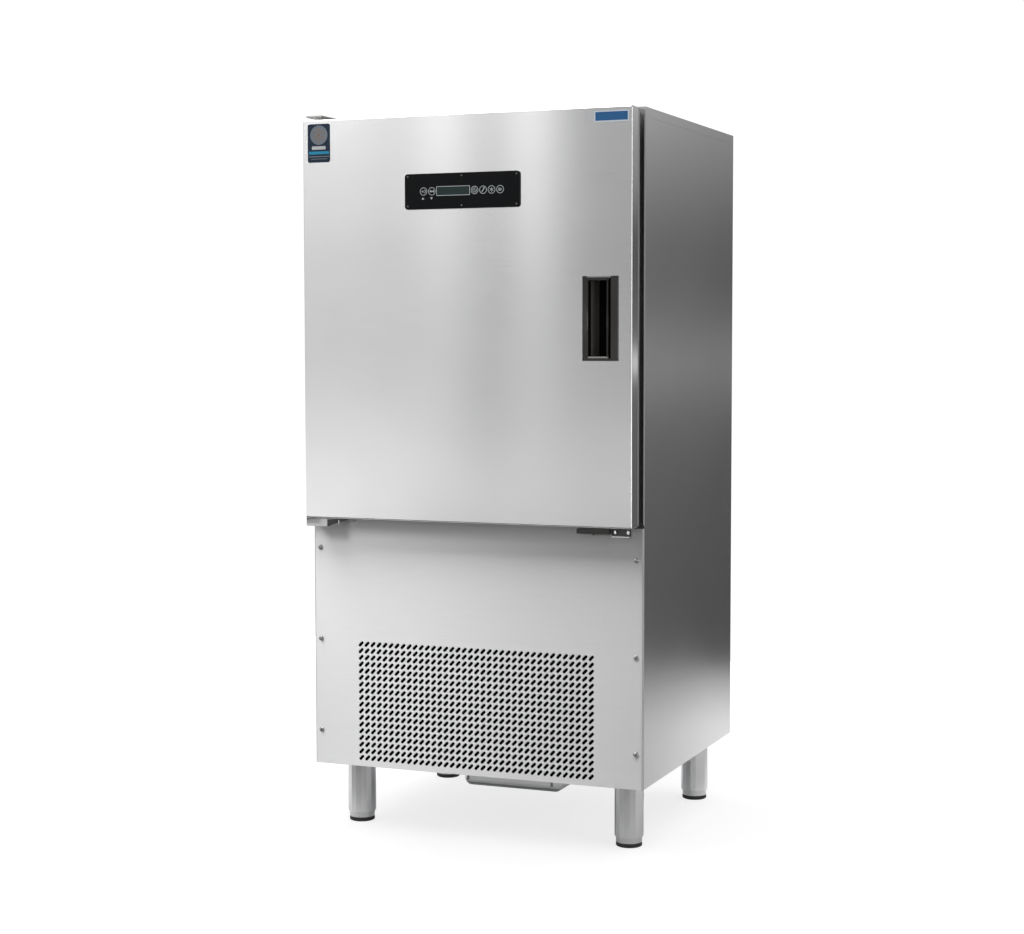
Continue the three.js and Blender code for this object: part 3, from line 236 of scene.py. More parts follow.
STEEL_TONE = (0.8, 0.8, 0.803)
MATERIALS = {
    "brushed_stainless": steel("brushed_stainless", STEEL_TONE, 0.13, 0.9, side_roughness=0.15),
    "bright_stainless": steel("bright_stainless", (0.78, 0.78, 0.785), 0.18, grain=(40, 40, 300),
                              grain_depth=2e-6),
    "galvanised_sheet": galvanised("galvanised_sheet", (0.58, 0.6, 0.61)),
    "aluminium_fins": finned("aluminium_fins", (0.74, 0.75, 0.76)),
    "copper_tube": copper("copper_tube"),
    "foam": foam("foam"),
    "black_plastic": plastic("black_plastic", (0.026, 0.0235, 0.021), 0.2),
    "gloss_black": plastic("gloss_black", (0.005, 0.0056, 0.0064), 0.2, depth=0.0, shine=0.1),
    "display": plastic("display", (0.028, 0.044, 0.043), 0.2, depth=0.0, shine=0.12),
    "foot_rubber": plastic("foot_rubber", (0.02, 0.02, 0.02), 0.55, 500.0, 4e-5),
    "gasket": plastic("gasket", (0.09, 0.09, 0.092), 0.6, 400.0, 3e-5),
    "black_enamel": plastic("black_enamel", (0.014, 0.015, 0.017), 0.3, 200.0, 3e-5, 0.3),
    "grey_plastic": plastic("grey_plastic", (0.5, 0.51, 0.52), 0.45),
}
# Finishes of pieces that differ from their slot's usual look.
EXTRA = {
    "panel_steel": steel("panel_steel", STEEL_TONE, 0.45, 1.0),
    "door_steel": steel("door_steel", STEEL_TONE, 0.13, 0.9, side_roughness=0.06),
    # The two pocket finishes are painted shade and painted light on the handle's black plastic.
    "pocket_painted_shade": plastic("pocket_painted_shade", (0.002, 0.002, 0.002), 0.6, depth=0.0, shine=0.04),
    "pocket_wall_painted_light": plastic("pocket_wall_painted_light", (0.085, 0.078, 0.07), 0.45, shine=0.3),
    "filter_black": plastic("filter_black", (0.006, 0.006, 0.006), 0.9, shine=0.05),
}
# Darker and lighter copies of the steel below paint light and shade: dark steel where shade falls under the
# door, darker bracket, frame, door-return and tray-bottom steel as painted shade, lighter tray-wall steel as
# painted light.
EXTRA.update({name: steel(name, tone, roughness, grain=grain) for name, tone, roughness, grain in (
    ("dark_steel", (0.1, 0.1, 0.098), 0.3, (60, 60, 300)),
    ("shaded_bracket_steel", (0.5, 0.49, 0.475), 0.25, (60, 60, 300)),
    ("lip_steel", (0.74, 0.74, 0.735), 0.55, (60, 60, 300)),
    ("foot_steel", (0.7, 0.7, 0.705), 0.26, (30, 30, 900)),
    ("shaded_frame_steel", (0.42, 0.42, 0.42), 0.5, (40, 40, 600)),
    ("dull_shaded_return_steel", (0.5, 0.5, 0.5), 0.42, (40, 40, 600)),
    ("painted_shade_tray_steel", (0.5, 0.5, 0.5), 0.24, (30, 30, 400)),
    ("painted_light_tray_wall", (0.86, 0.86, 0.855), 0.4, (30, 30, 400)),
)})
EXTRA.update({name: plain_metal(name, tone, roughness) for name, tone, roughness in (
    ("fan_metal", (0.72, 0.73, 0.74), 0.34), ("roller_steel", (0.9, 0.9, 0.9), 0.22),
    ("clip_steel", (0.3, 0.3, 0.3), 0.45), ("screw_steel", (0.5, 0.5, 0.505), 0.2),
    ("screw_dark", (0.16, 0.165, 0.17), 0.35),
)})
EXTRA.update({name: plastic(name, tone, roughness, depth=0.0, shine=shine)
              for name, tone, roughness, shine in (
    ("print_ink", (0.52, 0.57, 0.58), 0.5, 0.5), ("label_slate", (0.02, 0.036, 0.062), 0.4, 0.12),
    ("label_blue", (0.03, 0.3, 0.5), 0.4, 0.12), ("label_pale", (0.55, 0.56, 0.57), 0.4, 0.5),
    ("label_tan", (0.3, 0.2, 0.1), 0.4, 0.12), ("label_disc", (0.2, 0.23, 0.27), 0.4, 0.12),
    ("plate_pale", (0.66, 0.74, 0.84), 0.4, 0.2), ("plate_blue", (0.02, 0.12, 0.3), 0.3, 0.3),
)})


def dress(obj, material):
    obj.data.materials.clear()
    obj.data.materials.append(material)


# ---- shading and rounding ------------------------------------------------------------------------
SMOOTH_ANGLE = math.radians(32)


def smooth_group():
    """Node group that shades smooth and keeps edges above an angle sharp."""
    group = bpy.data.node_groups.new("smooth_by_angle", "GeometryNodeTree")
    for way in ("INPUT", "OUTPUT"):
        group.interface.new_socket("Geometry", in_out=way, socket_type="NodeSocketGeometry")
    start = add_node(group, "NodeGroupInput")
    angle = add_node(group, "GeometryNodeInputMeshEdgeAngle")
    compare = add_node(group, "FunctionNodeCompare",
                       {"A": angle.outputs["Unsigned Angle"], "B": SMOOTH_ANGLE},
                       data_type="FLOAT", operation="LESS_EQUAL")
    faces = add_node(group, "GeometryNodeSetShadeSmooth", {"Geometry": start.outputs["Geometry"]},
                     domain="FACE")
    edges = add_node(group, "GeometryNodeSetShadeSmooth",
                     {"Geometry": faces.outputs["Geometry"], "Shade Smooth": compare.outputs["Result"]},
                     domain="EDGE")
    add_node(group, "NodeGroupOutput", {"Geometry": edges.outputs["Geometry"]})
    return group


SMOOTH = smooth_group()


def soften(obj, width=0.0, segments=2, angle=35):
    """Rounds a piece's edges by a small width in mm, and shades it smooth."""
    if width:
        bevel = obj.modifiers.new("edges", "BEVEL")
        bevel.width = width * MM
        bevel.segments = segments
        bevel.limit_method = "ANGLE"
        bevel.angle_limit = math.radians(angle)
        bevel.use_clamp_overlap = True
        bevel.miter_outer = "MITER_SHARP"
    smooth = obj.modifiers.new("smooth", "NODES")
    smooth.node_group = SMOOTH
    normals = obj.modifiers.new("flat_faces", "WEIGHTED_NORMAL")
    normals.keep_sharp = True


# ---- mesh helpers --------------------------------------------------------------------------------
def new_object(name, mesh, material, body, replaces=()):
    obj = bpy.data.objects.new(name, mesh)
    scene.collection.objects.link(obj)
    dress(obj, material)
    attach(obj, body)
    if replaces:
        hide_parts(*replaces)
    return obj


def clean(mesh, distance=None):
    """Joins points closer than a distance in metres and turns the normals outwards."""
    bm = bmesh.new()
    bm.from_mesh(mesh)
    if distance:
        bmesh.ops.remove_doubles(bm, verts=bm.verts, dist=distance)
    bmesh.ops.recalc_face_normals(bm, faces=bm.faces)
    bm.to_mesh(mesh)
    bm.free()


def merge(mesh, *others):
    """Adds the faces of other meshes to a mesh."""
    bm = bmesh.new()
    for part in (mesh, *others):
        bm.from_mesh(part)
    bm.to_mesh(mesh)
    bm.free()
    return mesh


def mesh_of(name, verts, faces):
    mesh = bpy.data.meshes.new(name)
    mesh.from_pydata([tuple(v) for v in verts], [], faces)
    mesh.validate()
    clean(mesh, 1e-6)
    return mesh


def piece(name, data, material, body, replaces=(), width=0.0):
    """Shown piece from its (verts, faces), with edges rounded by a width in mm."""
    soften(new_object(name, mesh_of(name, *data), material, body, replaces), width)


def second_finish(mesh, material, chosen):
    """Second material for the faces whose middle is chosen."""
    mesh.materials.append(material)
    for polygon in mesh.polygons:
        polygon.material_index = int(chosen(polygon.center))


def lathe(profile, place, steps, axis="Z"):
    """Solid turned from [radius, height] points in mm about an axis through place (row frame)."""
    verts, faces = [], []
    for radius, height in profile:
        for i in range(steps):
            a = 2 * math.pi * i / steps
            c, s = radius * math.cos(a) * MM, radius * math.sin(a) * MM
            offset = Vector((c, s, height * MM)) if axis == "Z" else Vector((c, height * MM, s))
            verts.append(place + offset)
    for j in range(len(profile) - 1):
        for i in range(steps):
            k = (i + 1) % steps
            faces.append((j * steps + i, j * steps + k, (j + 1) * steps + k, (j + 1) * steps + i))
    faces.append(tuple(range(steps)))
    last = (len(profile) - 1) * steps
    faces.append(tuple(last + i for i in reversed(range(steps))))
    return verts, faces


def joined(parts):
    verts, faces = [], []
    for part_verts, part_faces in parts:
        base = len(verts)
        verts += part_verts
        faces += [tuple(base + i for i in face) for face in part_faces]
    return verts, faces


def polar(x, z, radius, angle):
    return x + radius * math.cos(angle), z + radius * math.sin(angle)


def rounded_outline(x0, x1, z0, z1, radius, steps=6):
    points = []
    for cx, cz, start in ((x1 - radius, z1 - radius, 0), (x0 + radius, z1 - radius, 90),
                          (x0 + radius, z0 + radius, 180), (x1 - radius, z0 + radius, 270)):
        points += [polar(cx, cz, radius, math.radians(start + 90 * i / steps)) for i in range(steps + 1)]
    return points


def stadium(x, z, length, width, angle):
    """Outline of a slot with round ends, turned by an angle."""
    points, steps = [], 5
    half, r = (length - width) / 2, width / 2
    for side, start in ((1, -90), (-1, 90)):
        points += [polar(side * half, 0, r, math.radians(start + 180 * i / steps)) for i in range(steps + 1)]
    c, s = math.cos(angle), math.sin(angle)
    return [(x + px * c - pz * s, z + px * s + pz * c) for px, pz in points]


def plate(name, outlines, y, thickness, edge=0.0):
    """Flat sheet in X and Z with holes: outlines in mm, front face at y, thickness into the depth."""
    curve = bpy.data.curves.new(name + "_curve", "CURVE")
    curve.dimensions = "2D"
    curve.fill_mode = "BOTH"
    curve.extrude = max(thickness / 2 - edge, 0.0) * MM
    curve.bevel_depth = edge * MM
    curve.bevel_resolution = 1
    curve.offset = -edge * MM
    for outline in outlines:
        spline = curve.splines.new("POLY")
        spline.points.add(len(outline) - 1)
        for point, (x, z) in zip(spline.points, outline):
            point.co = (x * MM, z * MM, 0, 1)
        spline.use_cyclic_u = True
    holder = bpy.data.objects.new(name + "_holder", curve)
    scene.collection.objects.link(holder)
    bpy.context.view_layer.update()
    graph = bpy.context.evaluated_depsgraph_get()
    mesh = bpy.data.meshes.new_from_object(holder.evaluated_get(graph))
    bpy.data.objects.remove(holder)
    bpy.data.curves.remove(curve)
    middle = at(0, y + thickness / 2, 0)
    mesh.transform(Matrix(((1, 0, 0, middle.x), (0, 0, -1, middle.y), (0, 1, 0, middle.z), (0, 0, 0, 1))))
    mesh.name = name
    clean(mesh, 1e-7)
    return mesh


def box_part(x, y, z):
    verts = [at(x[i], y[j], z[k]) for i in (0, 1) for j in (0, 1) for k in (0, 1)]
    faces = [(0, 1, 3, 2), (4, 6, 7, 5), (0, 4, 5, 1), (2, 3, 7, 6), (0, 2, 6, 4), (1, 5, 7, 3)]
    return verts, faces


def boxes(*parts):
    """Boxes as one piece, each from its (x, y, z) ranges in mm."""
    return joined([box_part(*part) for part in parts])


def quarter(steps):
    return [math.pi / 2 * i / (steps - 1) for i in range(steps)]


def prism(outline, low, high, axis="Z"):
    """Closed outline pushed along an axis: (x, y) points along Z, or (y, z) points along X."""
    place = (lambda p, t: at(p[0], p[1], t)) if axis == "Z" else (lambda p, t: at(t, p[0], p[1]))
    count = len(outline)
    verts = [place(p, low) for p in outline] + [place(p, high) for p in outline]
    faces = [(i, (i + 1) % count, count + (i + 1) % count, count + i) for i in range(count)]
    return verts, faces + [tuple(reversed(range(count))), tuple(range(count, 2 * count))]


def loft(loops, closed=False):
    """Loops of the same count of points joined one after another; closed joins the last to the first."""
    count = len(loops[0])
    verts = [point for loop in loops for point in loop]
    faces = []
    for j in range(len(loops) if closed else len(loops) - 1):
        a, b = j * count, (j + 1) % len(loops) * count
        faces += [(a + i, a + (i + 1) % count, b + (i + 1) % count, b + i) for i in range(count)]
    if not closed:
        faces += [tuple(reversed(range(count))), tuple(range((len(loops) - 1) * count, len(loops) * count))]
    return verts, faces


# ---- CAD nodes: materials and rounded edges ------------------------------------------------------
slot_of = {row["node"]: row["material_slot"] for row in frame["record"]["subparts"]}
LEGS = ("front_left", "front_right", "back_left", "back_right")
# Width in mm and segments of the rounded edges, and the nodes that have them.
EDGES = {
    (2.0, 3): ["electrical_box"],
    (1.4, 3): ["top_cover"],
    (1.2, 3): ["side_panel_left", "side_panel_right", "door_inner_liner", "door_gasket"],
    (1.2, 2): ["compressor"],
    (0.8, 2): ["liquid_receiver"],
    (0.7, 2): ["upper_hinge_bracket"],
    (0.6, 2): ["front_frame", "base_chassis", "door_switch", "cord_gland"]
    + [f"leg_sleeve_{leg}" for leg in LEGS],
    (0.5, 3): ["control_bezel"],
    (0.5, 2): ["back_panel", "chamber_liner", "condenser_shroud", "evaporator_fan_panel", "tray_rack_left",
               "tray_rack_right", "lower_hinge_pin", "upper_hinge_pin"],
    (0.4, 2): ["condenser_fan", "evaporator_fan_lower", "evaporator_fan_upper"],
    (0.4, 1): ["cell_floor_sheet"],
    (0.3, 2): ["display_window"] + [f"control_key_{i}" for i in range(1, 7)],
    (0.3, 1): ["tray_runner_left", "tray_runner_right"],
}
edge_of = {name: edge for edge, names in EDGES.items() for name in names}
# The bracket and the front frame get darker copies of the steel: painted shade.
OWN_FINISH = {"upper_hinge_bracket": "shaded_bracket_steel", "upper_hinge_pin": "roller_steel",
              "front_frame": "shaded_frame_steel", "condenser_fan": "fan_metal", "evaporator_fan_lower": "fan_metal",
              "evaporator_fan_upper": "fan_metal"}
for node_name, node in frame["nodes"].items():
    finish = OWN_FINISH.get(node_name)
    dress(node, EXTRA[finish] if finish else MATERIALS[slot_of[node_name]])
    soften(node, *edge_of.get(node_name, (0.0, 1)))


# ---- lower panel with its 684 slots and the filter behind them -----------------------------------
def lower_panel():
    columns, rows, pitch_x, pitch_z, lowest = 38, 18, 15, 15.33, 19.7
    length, width, shift = 15.2, 6.5, -0.6
    angle = math.atan2(pitch_z, pitch_x)
    slots = [stadium((column - (columns - 1) / 2) * pitch_x + shift, lowest + row * pitch_z, length, width,
                     angle) for column in range(columns) for row in range(rows)]
    fold_radius, depth = 3, 6.7

    def fold(side):
        outer, inner = ([(PANEL_HALF - fold_radius + r * math.sin(a), fold_radius - r * math.cos(a))
                         for a in quarter(7)] for r in (fold_radius, fold_radius - SHEET))
        outline = outer + [(PANEL_HALF, depth), (PANEL_HALF - SHEET, depth)] + inner[::-1]
        return prism([(side * x, y) for x, y in outline], 0, PANEL_TOP)

    face = rounded_outline(-PANEL_HALF + 2.6, PANEL_HALF - 2.6, 0, PANEL_TOP, 0.5, 2)
    mesh = plate("lower_panel", [face] + slots, 0, SHEET, 0.35)
    returns = joined([
        fold(-1), fold(1),
        box_part((-PANEL_HALF + 9, PANEL_HALF - 9), (0.8, depth), (PANEL_TOP - SHEET, PANEL_TOP)),
        box_part((-PANEL_HALF + 3, PANEL_HALF - 3), (0.8, depth), (0, SHEET)),
    ])
    merge(mesh, mesh_of("returns", *returns))
    panel = new_object("slotted_panel", mesh, EXTRA["panel_steel"], "cabinet",
                       ["lower_front_panel"])
    # The top return, in the slit under the door, takes near-black steel: painted shade.
    top = at(0, 0.7, PANEL_TOP - 1.6)
    second_finish(mesh, EXTRA["dark_steel"], lambda middle: middle.z > top.z and middle.y > top.y)
    soften(panel)


def air_filter():
    """Pleated black filter in a thin rim, just behind the slots."""
    pleats, half, low, high, rim = 146, 290.0, 8.0, 294.0, 4
    verts = [at(-half + 2 * half * i / pleats, 3.0 if i % 2 else 5.6, z)
             for i in range(pleats + 1) for z in (low, high)]
    faces = [(2 * i, 2 * i + 2, 2 * i + 3, 2 * i + 1) for i in range(pleats)]
    depth, tall = (2.4, 6.2), (low - rim, high + rim)
    frame_parts = boxes(((-half - rim, -half), depth, tall), ((half, half + rim), depth, tall),
                        ((-half, half), depth, (low - rim, low)), ((-half, half), depth, (high, high + rim)))
    mesh = mesh_of("filter", *joined([(verts, faces), frame_parts]))
    new_object("air_filter", mesh, EXTRA["filter_black"], "cabinet")


lower_panel()
air_filter()


# ---- door skin with rounded front edges ----------------------------------------------------------
def door_skin():
    """Folded skin with openings for the handle and the controls. The rear of its right side is duller and
    darker: painted shade.
    """
    r, dull_shaded_depth = 3.0, 9.4

    def loop(inset, y):
        outline = rounded_outline(-DOOR_HALF + inset, DOOR_HALF - inset, DOOR_BOTTOM + inset,
                                  DOOR_TOP - inset, max(2.2 - 0.6 * inset, 0.3))
        return [at(x, y, z) for x, z in outline]

    def front_edge(inset, steps):
        radius = r - inset
        return [loop(inset + radius * (1 - math.sin(a)), DOOR_FACE + inset + radius * (1 - math.cos(a)))
                for a in quarter(steps)]

    sides = [loop(0, DOOR_BACK - dull_shaded_depth), loop(0, DOOR_BACK), loop(SHEET, DOOR_BACK)]
    rim = mesh_of("rim", *loft(front_edge(0, 8) + sides + front_edge(SHEET, 5)[::-1], closed=True))
    face = rounded_outline(-DOOR_HALF + r, DOOR_HALF - r, DOOR_BOTTOM + r, DOOR_TOP - r, 0.4)
    handle_opening = rounded_outline(278.5, 355, 926.5, 1101.5, 1)
    controls_opening = rounded_outline(-120, 120, KEYS_Z - 23.5, KEYS_Z + 23.5, 1)
    mesh = merge(plate("door_skin", [face, handle_opening, controls_opening], DOOR_FACE, SHEET), rim)
    skin = new_object("door_skin", mesh, EXTRA["door_steel"], "door",
                      ["door_outer_skin"])
    # The rear strip of the right side takes a darker, rougher copy of the steel: painted shade.
    rear = at(DOOR_HALF - 0.1, DOOR_BACK - dull_shaded_depth, 0)
    second_finish(mesh, EXTRA["dull_shaded_return_steel"], lambda middle: middle.x > rear.x and middle.y > rear.y)
    soften(skin)


door_skin()


# ---- strip under the door, lower hinge bracket, catch, tray --------------------------------------
def slit_shade_strip():
    """Black strip on the lower panel's top return, in the slit under the door, with a raised right end: a
    dark piece put where the door's shade falls, painted shade.
    """
    left, right, base = -300, 394.2, PANEL_TOP + 0.1
    profile = [(0.6, base), (6.6, base), (6.6, base + 2.9), (5.4, base + 3.4), (1.8, base + 3.4),
               (0.6, base + 2.5)]
    end = box_part((right - 15.2, right), (5.6, 6.8), (base + 2.7, base + 6.3))
    piece("slit_shade_strip", joined([prism(profile, left, right, "X"), end]), MATERIALS["black_plastic"],
          "cabinet", width=0.3)


def lower_bracket():
    """Angle under the door's hinged corner, with an oblique flange on its right and a rivet in it."""
    left, right, tip = -388, -336, -306
    tongue = prism([(left, -50), (right, -50), (tip, -0.3), (tip, 6.7), (left, 6.7)], 566.5, 568.5)
    lip = box_part((left, right), (-50, -48), (550.5, 568.5))
    cheek = prism([(-50, 551), (-0.3, 560), (-0.3, 567), (-50, 567)], left, left + 2, "X")
    upstand = box_part((left, right), (4.7, 6.7), (568.5, 589.5))
    piece("hinge_plate", joined([tongue, lip, cheek, upstand]), EXTRA["lip_steel"], "cabinet",
          ["lower_hinge_bracket"], 0.5)
    # The oblique flange is near-black steel: painted shadow.
    corners = [(-336.2, -49.6, 550.8), (-306.6, -0.6, 563.5), (-306.6, -0.6, 566.4), (-336.2, -49.6, 566.4)]
    verts = [at(x + dx, y + dy, z) for dx, dy in ((0, 0), (-1.7, 1.0)) for x, y, z in corners]
    faces = [(0, 1, 2, 3), (7, 6, 5, 4), (0, 4, 5, 1), (1, 5, 6, 2), (2, 6, 7, 3), (3, 7, 4, 0)]
    piece("hinge_flange", (verts, faces), EXTRA["dark_steel"], "cabinet", width=0.3)
    rivet = [(0.01, 554), (1.8, 554), (2.3, 555), (2.3, 562.5), (1.8, 563.5), (0.01, 563.5)]
    piece("hinge_rivet", lathe(rivet, at(-319.5, -26.5, 0), 20), EXTRA["foot_steel"], "cabinet")


def catch():
    """Dark folded plate with two bright rollers and a bright lower lip."""
    x0, x1 = 327, 366.5
    body = boxes(((x0, x1), (-1.8, -0.3), (549, 563)), ((x0, x1), (-11.3, -0.3), (561.5, 563)),
                 ((x0, x0 + 1.5), (-10.5, -0.3), (550, 563)), ((x1 - 1.5, x1), (-4.5, -0.3), (550, 563)))
    piece("catch_body", body, EXTRA["dark_steel"], "cabinet", ["door_catch"], 0.3)
    roller = [(0.01, 553.5), (2.6, 553.5), (3.1, 554.2), (3.1, 561), (2.6, 561.5), (0.01, 561.5)]
    for i, x in enumerate((333.5, 363)):
        piece(f"catch_roller_{i + 1}", lathe(roller, at(x, -7.5, 0), 24), EXTRA["roller_steel"], "cabinet")
    lip = boxes(((x0, x1), (-10.8, -9.8), (546.8, 548.8)), ((x0, x1), (-9.8, -1.8), (547.4, 548.6)))
    piece("catch_lip", lip, EXTRA["roller_steel"], "cabinet")


def tray():
    """Deep-drawn tray: wide corners, a large radius along the bottom, a flat rim and two clips in front."""
    half, front, back, bottom, radius = 122, 220, 520, -78, 20

    def loop(inset, z):
        outline = rounded_outline(-half + inset, half - inset, front + inset, back - inset,
                                  max(14 - inset, 4.0), 10)
        return [at(x, y, z) for x, y in outline]

    def wall(sheet):
        r = radius - sheet
        return [loop(sheet + r * (1 - math.cos(a)), bottom + sheet + r * (1 - math.sin(a)))
                for a in quarter(10)]

    rim = [(1.5, -10.5), (0.5, -8.6), (-0.8, -8), (-7.2, -8), (-8, -8.4), (-8, -10.4), (-7, -10.6),
           (-6.5, -9.6), (-1.0, -9.6), (0, -10.8)]
    loops = wall(SHEET)[::-1] + [loop(inset, z) for inset, z in rim] + wall(0)
    mesh = mesh_of("tray_shell", *loft(loops))
    shell = new_object("tray_shell", mesh, EXTRA["painted_shade_tray_steel"], "drip_tray",
                       ["condensate_tray"])
    # The walls take a lighter copy of the steel than the rounded bottom: painted light above, painted shade
    # below.
    wall_foot = at(0, 0, -67.5)
    second_finish(mesh, EXTRA["painted_light_tray_wall"], lambda middle: middle.z > wall_foot.z)
    soften(shell)
    for side, x in (("left", -109), ("right", 101)):
        across = (x - 2.5, x + 2.5)
        clip = boxes((across, (218.2, 220.4), (-62, -12)), (across, (216.4, 218.6), (-62, -59)))
        piece(f"tray_clip_{side}", clip, EXTRA["clip_steel"], "drip_tray", width=0.4)


slit_shade_strip()
lower_bracket()
catch()
tray()


# ---- feet: a pad and a steel insert each ---------------------------------------------------------
# Profiles in mm: radius and height above the floor.
PAD = [(0.01, 0), (26.4, 0), (28.6, 1.2), (29.2, 3.2), (29.2, 6.6), (28.4, 8.4), (27, 9), (0.01, 9)]
INSERT = [(0.01, 9), (28.2, 9), (28.8, 9.8), (28.8, 37.6), (28.2, 38.2), (12.4, 38.2), (11.8, 39),
          (11.8, 125), (0.01, 125)]
for leg in LEGS:
    low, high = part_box(f"leveling_foot_{leg}")
    middle = (low + high) / 2
    place = Vector((middle.x, middle.y, low.z))
    piece(f"foot_pad_{leg}", lathe(PAD, place, 56), MATERIALS["foot_rubber"], f"foot_{leg}",
          [f"leveling_foot_{leg}"])
    piece(f"foot_insert_{leg}", lathe(INSERT, place, 56), EXTRA["foot_steel"], f"foot_{leg}")


# ---- pocket handle -------------------------------------------------------------------------------
def pocket_handle():
    """Black frame with a pocket. Its rims swell towards the middle of the height, and each face has a mark:
    0 rims, 1 the pocket's left wall, a paler copy of the black: painted light, 2 its floor and crevices, near
    black: painted shade."""
    x0, x1, z0, z1 = 276.5, 357.0, 924.5, 1103.5
    left, right = 289.5, 338.5
    back, face, floor = -56.3, -58.4, -17.5
    low, high, rows = z0 + 4, z1 - 4, 41
    swell_middle, swell_width = 0.46, 0.13

    def section(z):
        s = math.exp(-(((z - z0) / (z1 - z0) - swell_middle) / swell_width) ** 2)
        return [
            (x0, back), (x0, face + 0.9), (x0 + 0.9, face), (left - 7.2, face),
            (left - 4.4, face + 0.1 - 2.0 * s), (left - 2.0, face + 0.5 - 2.6 * s),
            (left - 0.2 + 0.6 * s, face + 1.8 - 2.0 * s), (left + 0.6 + 0.4 * s, face + 5),
            (left + 1.2, face + 9), (left + 3.6, face + 9.6), (left + 8, floor - 8), (left + 11, floor),
            (right + 3, floor), (right + 7.6, floor - 4), (right + 7.6, face + 9), (right - 6.0, face + 7.6),
            (right - 8.0, face + 5.8), (right - 8.6, face + 3.6 - 1.5 * s),
            (right - 7.2, face + 1.4 - 2.8 * s), (right - 5.4, face + 1.9 - 2.8 * s),
            (right - 4.2 + 1.6 * s, face + 3.6 - 1.2 * s),
            (right - 3.6 + 1.8 * s, face + 7.0), (right + 0.4, face + 6.4), (right + 1.4, face + 0.8),
            (right + 2.2, face), (x1 - 0.9, face), (x1, face + 0.9), (x1, back),
        ]

    section_marks = [0] * 6 + [2] * 3 + [1] * 2 + [2] * 4 + [0] * 5 + [2] * 3 + [0] * 4
    levels = [low + (high - low) * i / (rows - 1) for i in range(rows)]
    count = len(section(low))
    skin = [at(x, y, z) for z in levels for x, y in section(z)], [
        (a, a + 1, a + count + 1, a + count)
        for j in range(rows - 1) for a in range(j * count, (j + 1) * count - 1)]
    top_edge = [(back, z1), (back - 0.7, z1), (face, z1 - 3.4), (face, z1 - 4), (back, z1 - 4)]
    sill = [(face + 0.4, low), (face + 0.9, low + 2.0), (face + 2.6, low + 5.2), (-51, z0 + 9.7),
            (floor, z0 + 9.8), (floor, low)]
    lintel = [(face + 2.6, high), (face + 2.6, high - 3.2), (face + 0.8, high - 3.4),
              (face + 0.8, high - 5.0), (-54, z1 - 9.8), (floor, z1 - 9.8), (floor, high)]
    verts, faces = joined([
        skin,
        box_part((x0, x1), (face, back), (z0, low)),
        box_part((x0, left - 3), (face, back), (high, z1)),
        box_part((right + 2, x1), (face, back), (high, z1)),
        prism(top_edge, left - 3, right + 2, "X"),
        box_part((right - 5, right + 8), (-56.5, -30), (z0 + 2.0, low)),
        box_part((right - 5, right + 8), (-56.5, -30), (high, z1 - 2.0)),
        box_part((right - 5, right + 4), (-55.6, -30), (z0 + 2.0, low + 1.6)),
        box_part((right - 5, right + 4), (-55.6, -30), (high - 1.6, z1 - 2.0)),
        prism(sill, left - 1, right - 4, "X"),
        prism(lintel, left - 1, right - 3, "X"),
    ])
    marks = section_marks * (rows - 1)
    mesh = bpy.data.meshes.new("pocket_handle")
    mesh.from_pydata([tuple(v) for v in verts], [], faces)
    clean(mesh)
    obj = new_object("pocket_handle", mesh, MATERIALS["black_plastic"], "door",
                     ["door_handle"])
    # The left wall's paler black is painted light; the near-black floor and crevices are painted shade.
    mesh.materials.append(EXTRA["pocket_wall_painted_light"])
    mesh.materials.append(EXTRA["pocket_painted_shade"])
    for polygon, mark in zip(mesh.polygons, marks):
        polygon.material_index = mark
    soften(obj, 0.4, angle=50)


pocket_handle()


# ---- prints on the keys and the control panel ----------------------------------------------------
INK_FACE = -60.12
INK_LAYER = 0.004  # keeps crossing strokes off each other's plane
KEY_PLACES = (-90, -70.2, 30.6, 50.4, 70.2, 90)


def ring(x, z, outer, inner):
    steps = 40
    return [[polar(x, z, r, 2 * math.pi * i / steps) for i in range(steps)] for r in (outer, inner)]


def stroke(points, width):
    """Outline of a straight or bent line of one width."""
    left, right = [], []
    for i, point in enumerate(points):
        before, after = points[max(i - 1, 0)], points[min(i + 1, len(points) - 1)]
        dx, dz = after[0] - before[0], after[1] - before[1]
        size = math.hypot(dx, dz) or 1.0
        nx, nz = -dz / size * width / 2, dx / size * width / 2
        left.append((point[0] + nx, point[1] + nz))
        right.append((point[0] - nx, point[1] - nz))
    return left + right[::-1]


def arc(x, z, r, start, end, steps=14):
    return [polar(x, z, r, math.radians(start + (end - start) * i / steps)) for i in range(steps + 1)]


# Strokes of each key's symbol round the key's middle: the points of a line, or an arc's x, z, radius, first
# and last angle (and steps), and the width.
SYMBOLS = [
    [(((-4.5, 0), (0.5, 0)), 1.0), ((1.6, 0, 3, -110, 110), 1.0), (((-2.2, 2.2), (-4.4, 0)), 0.9),
     (((-2.2, -2.2), (-4.4, 0)), 0.9)],
    [(((-5, 0), (-1.5, 2.6)), 1.0), (((-5, 0), (-1.5, -2.6)), 1.0), (((-3.6, 0), (4.6, 0)), 1.6),
     ((2.2, 0, 3, -80, 80), 1.0)],
    [((0, 0, 4.4, 60, 390, 20), 1.1), (((0, 0), (0, 2.8)), 1.0), (((0, 0), (2, -1.2)), 1.0)],
    [(((-2.8, -4.6), (1.8, 2.4)), 1.6), ((2, 3.2, 1.6, -60, 200), 1.0)],
    [((polar(0, 0, 5, math.radians(a)), polar(0, 0, -5, math.radians(a))), 0.9) for a in (30, 90, 150)],
    [(((-4.6, 2.4), (2.2, 2.4)), 1.0), (((-4.6, 0), (4.4, 0)), 1.4), (((-4.6, -2.4), (2.2, -2.4)), 1.0)],
]


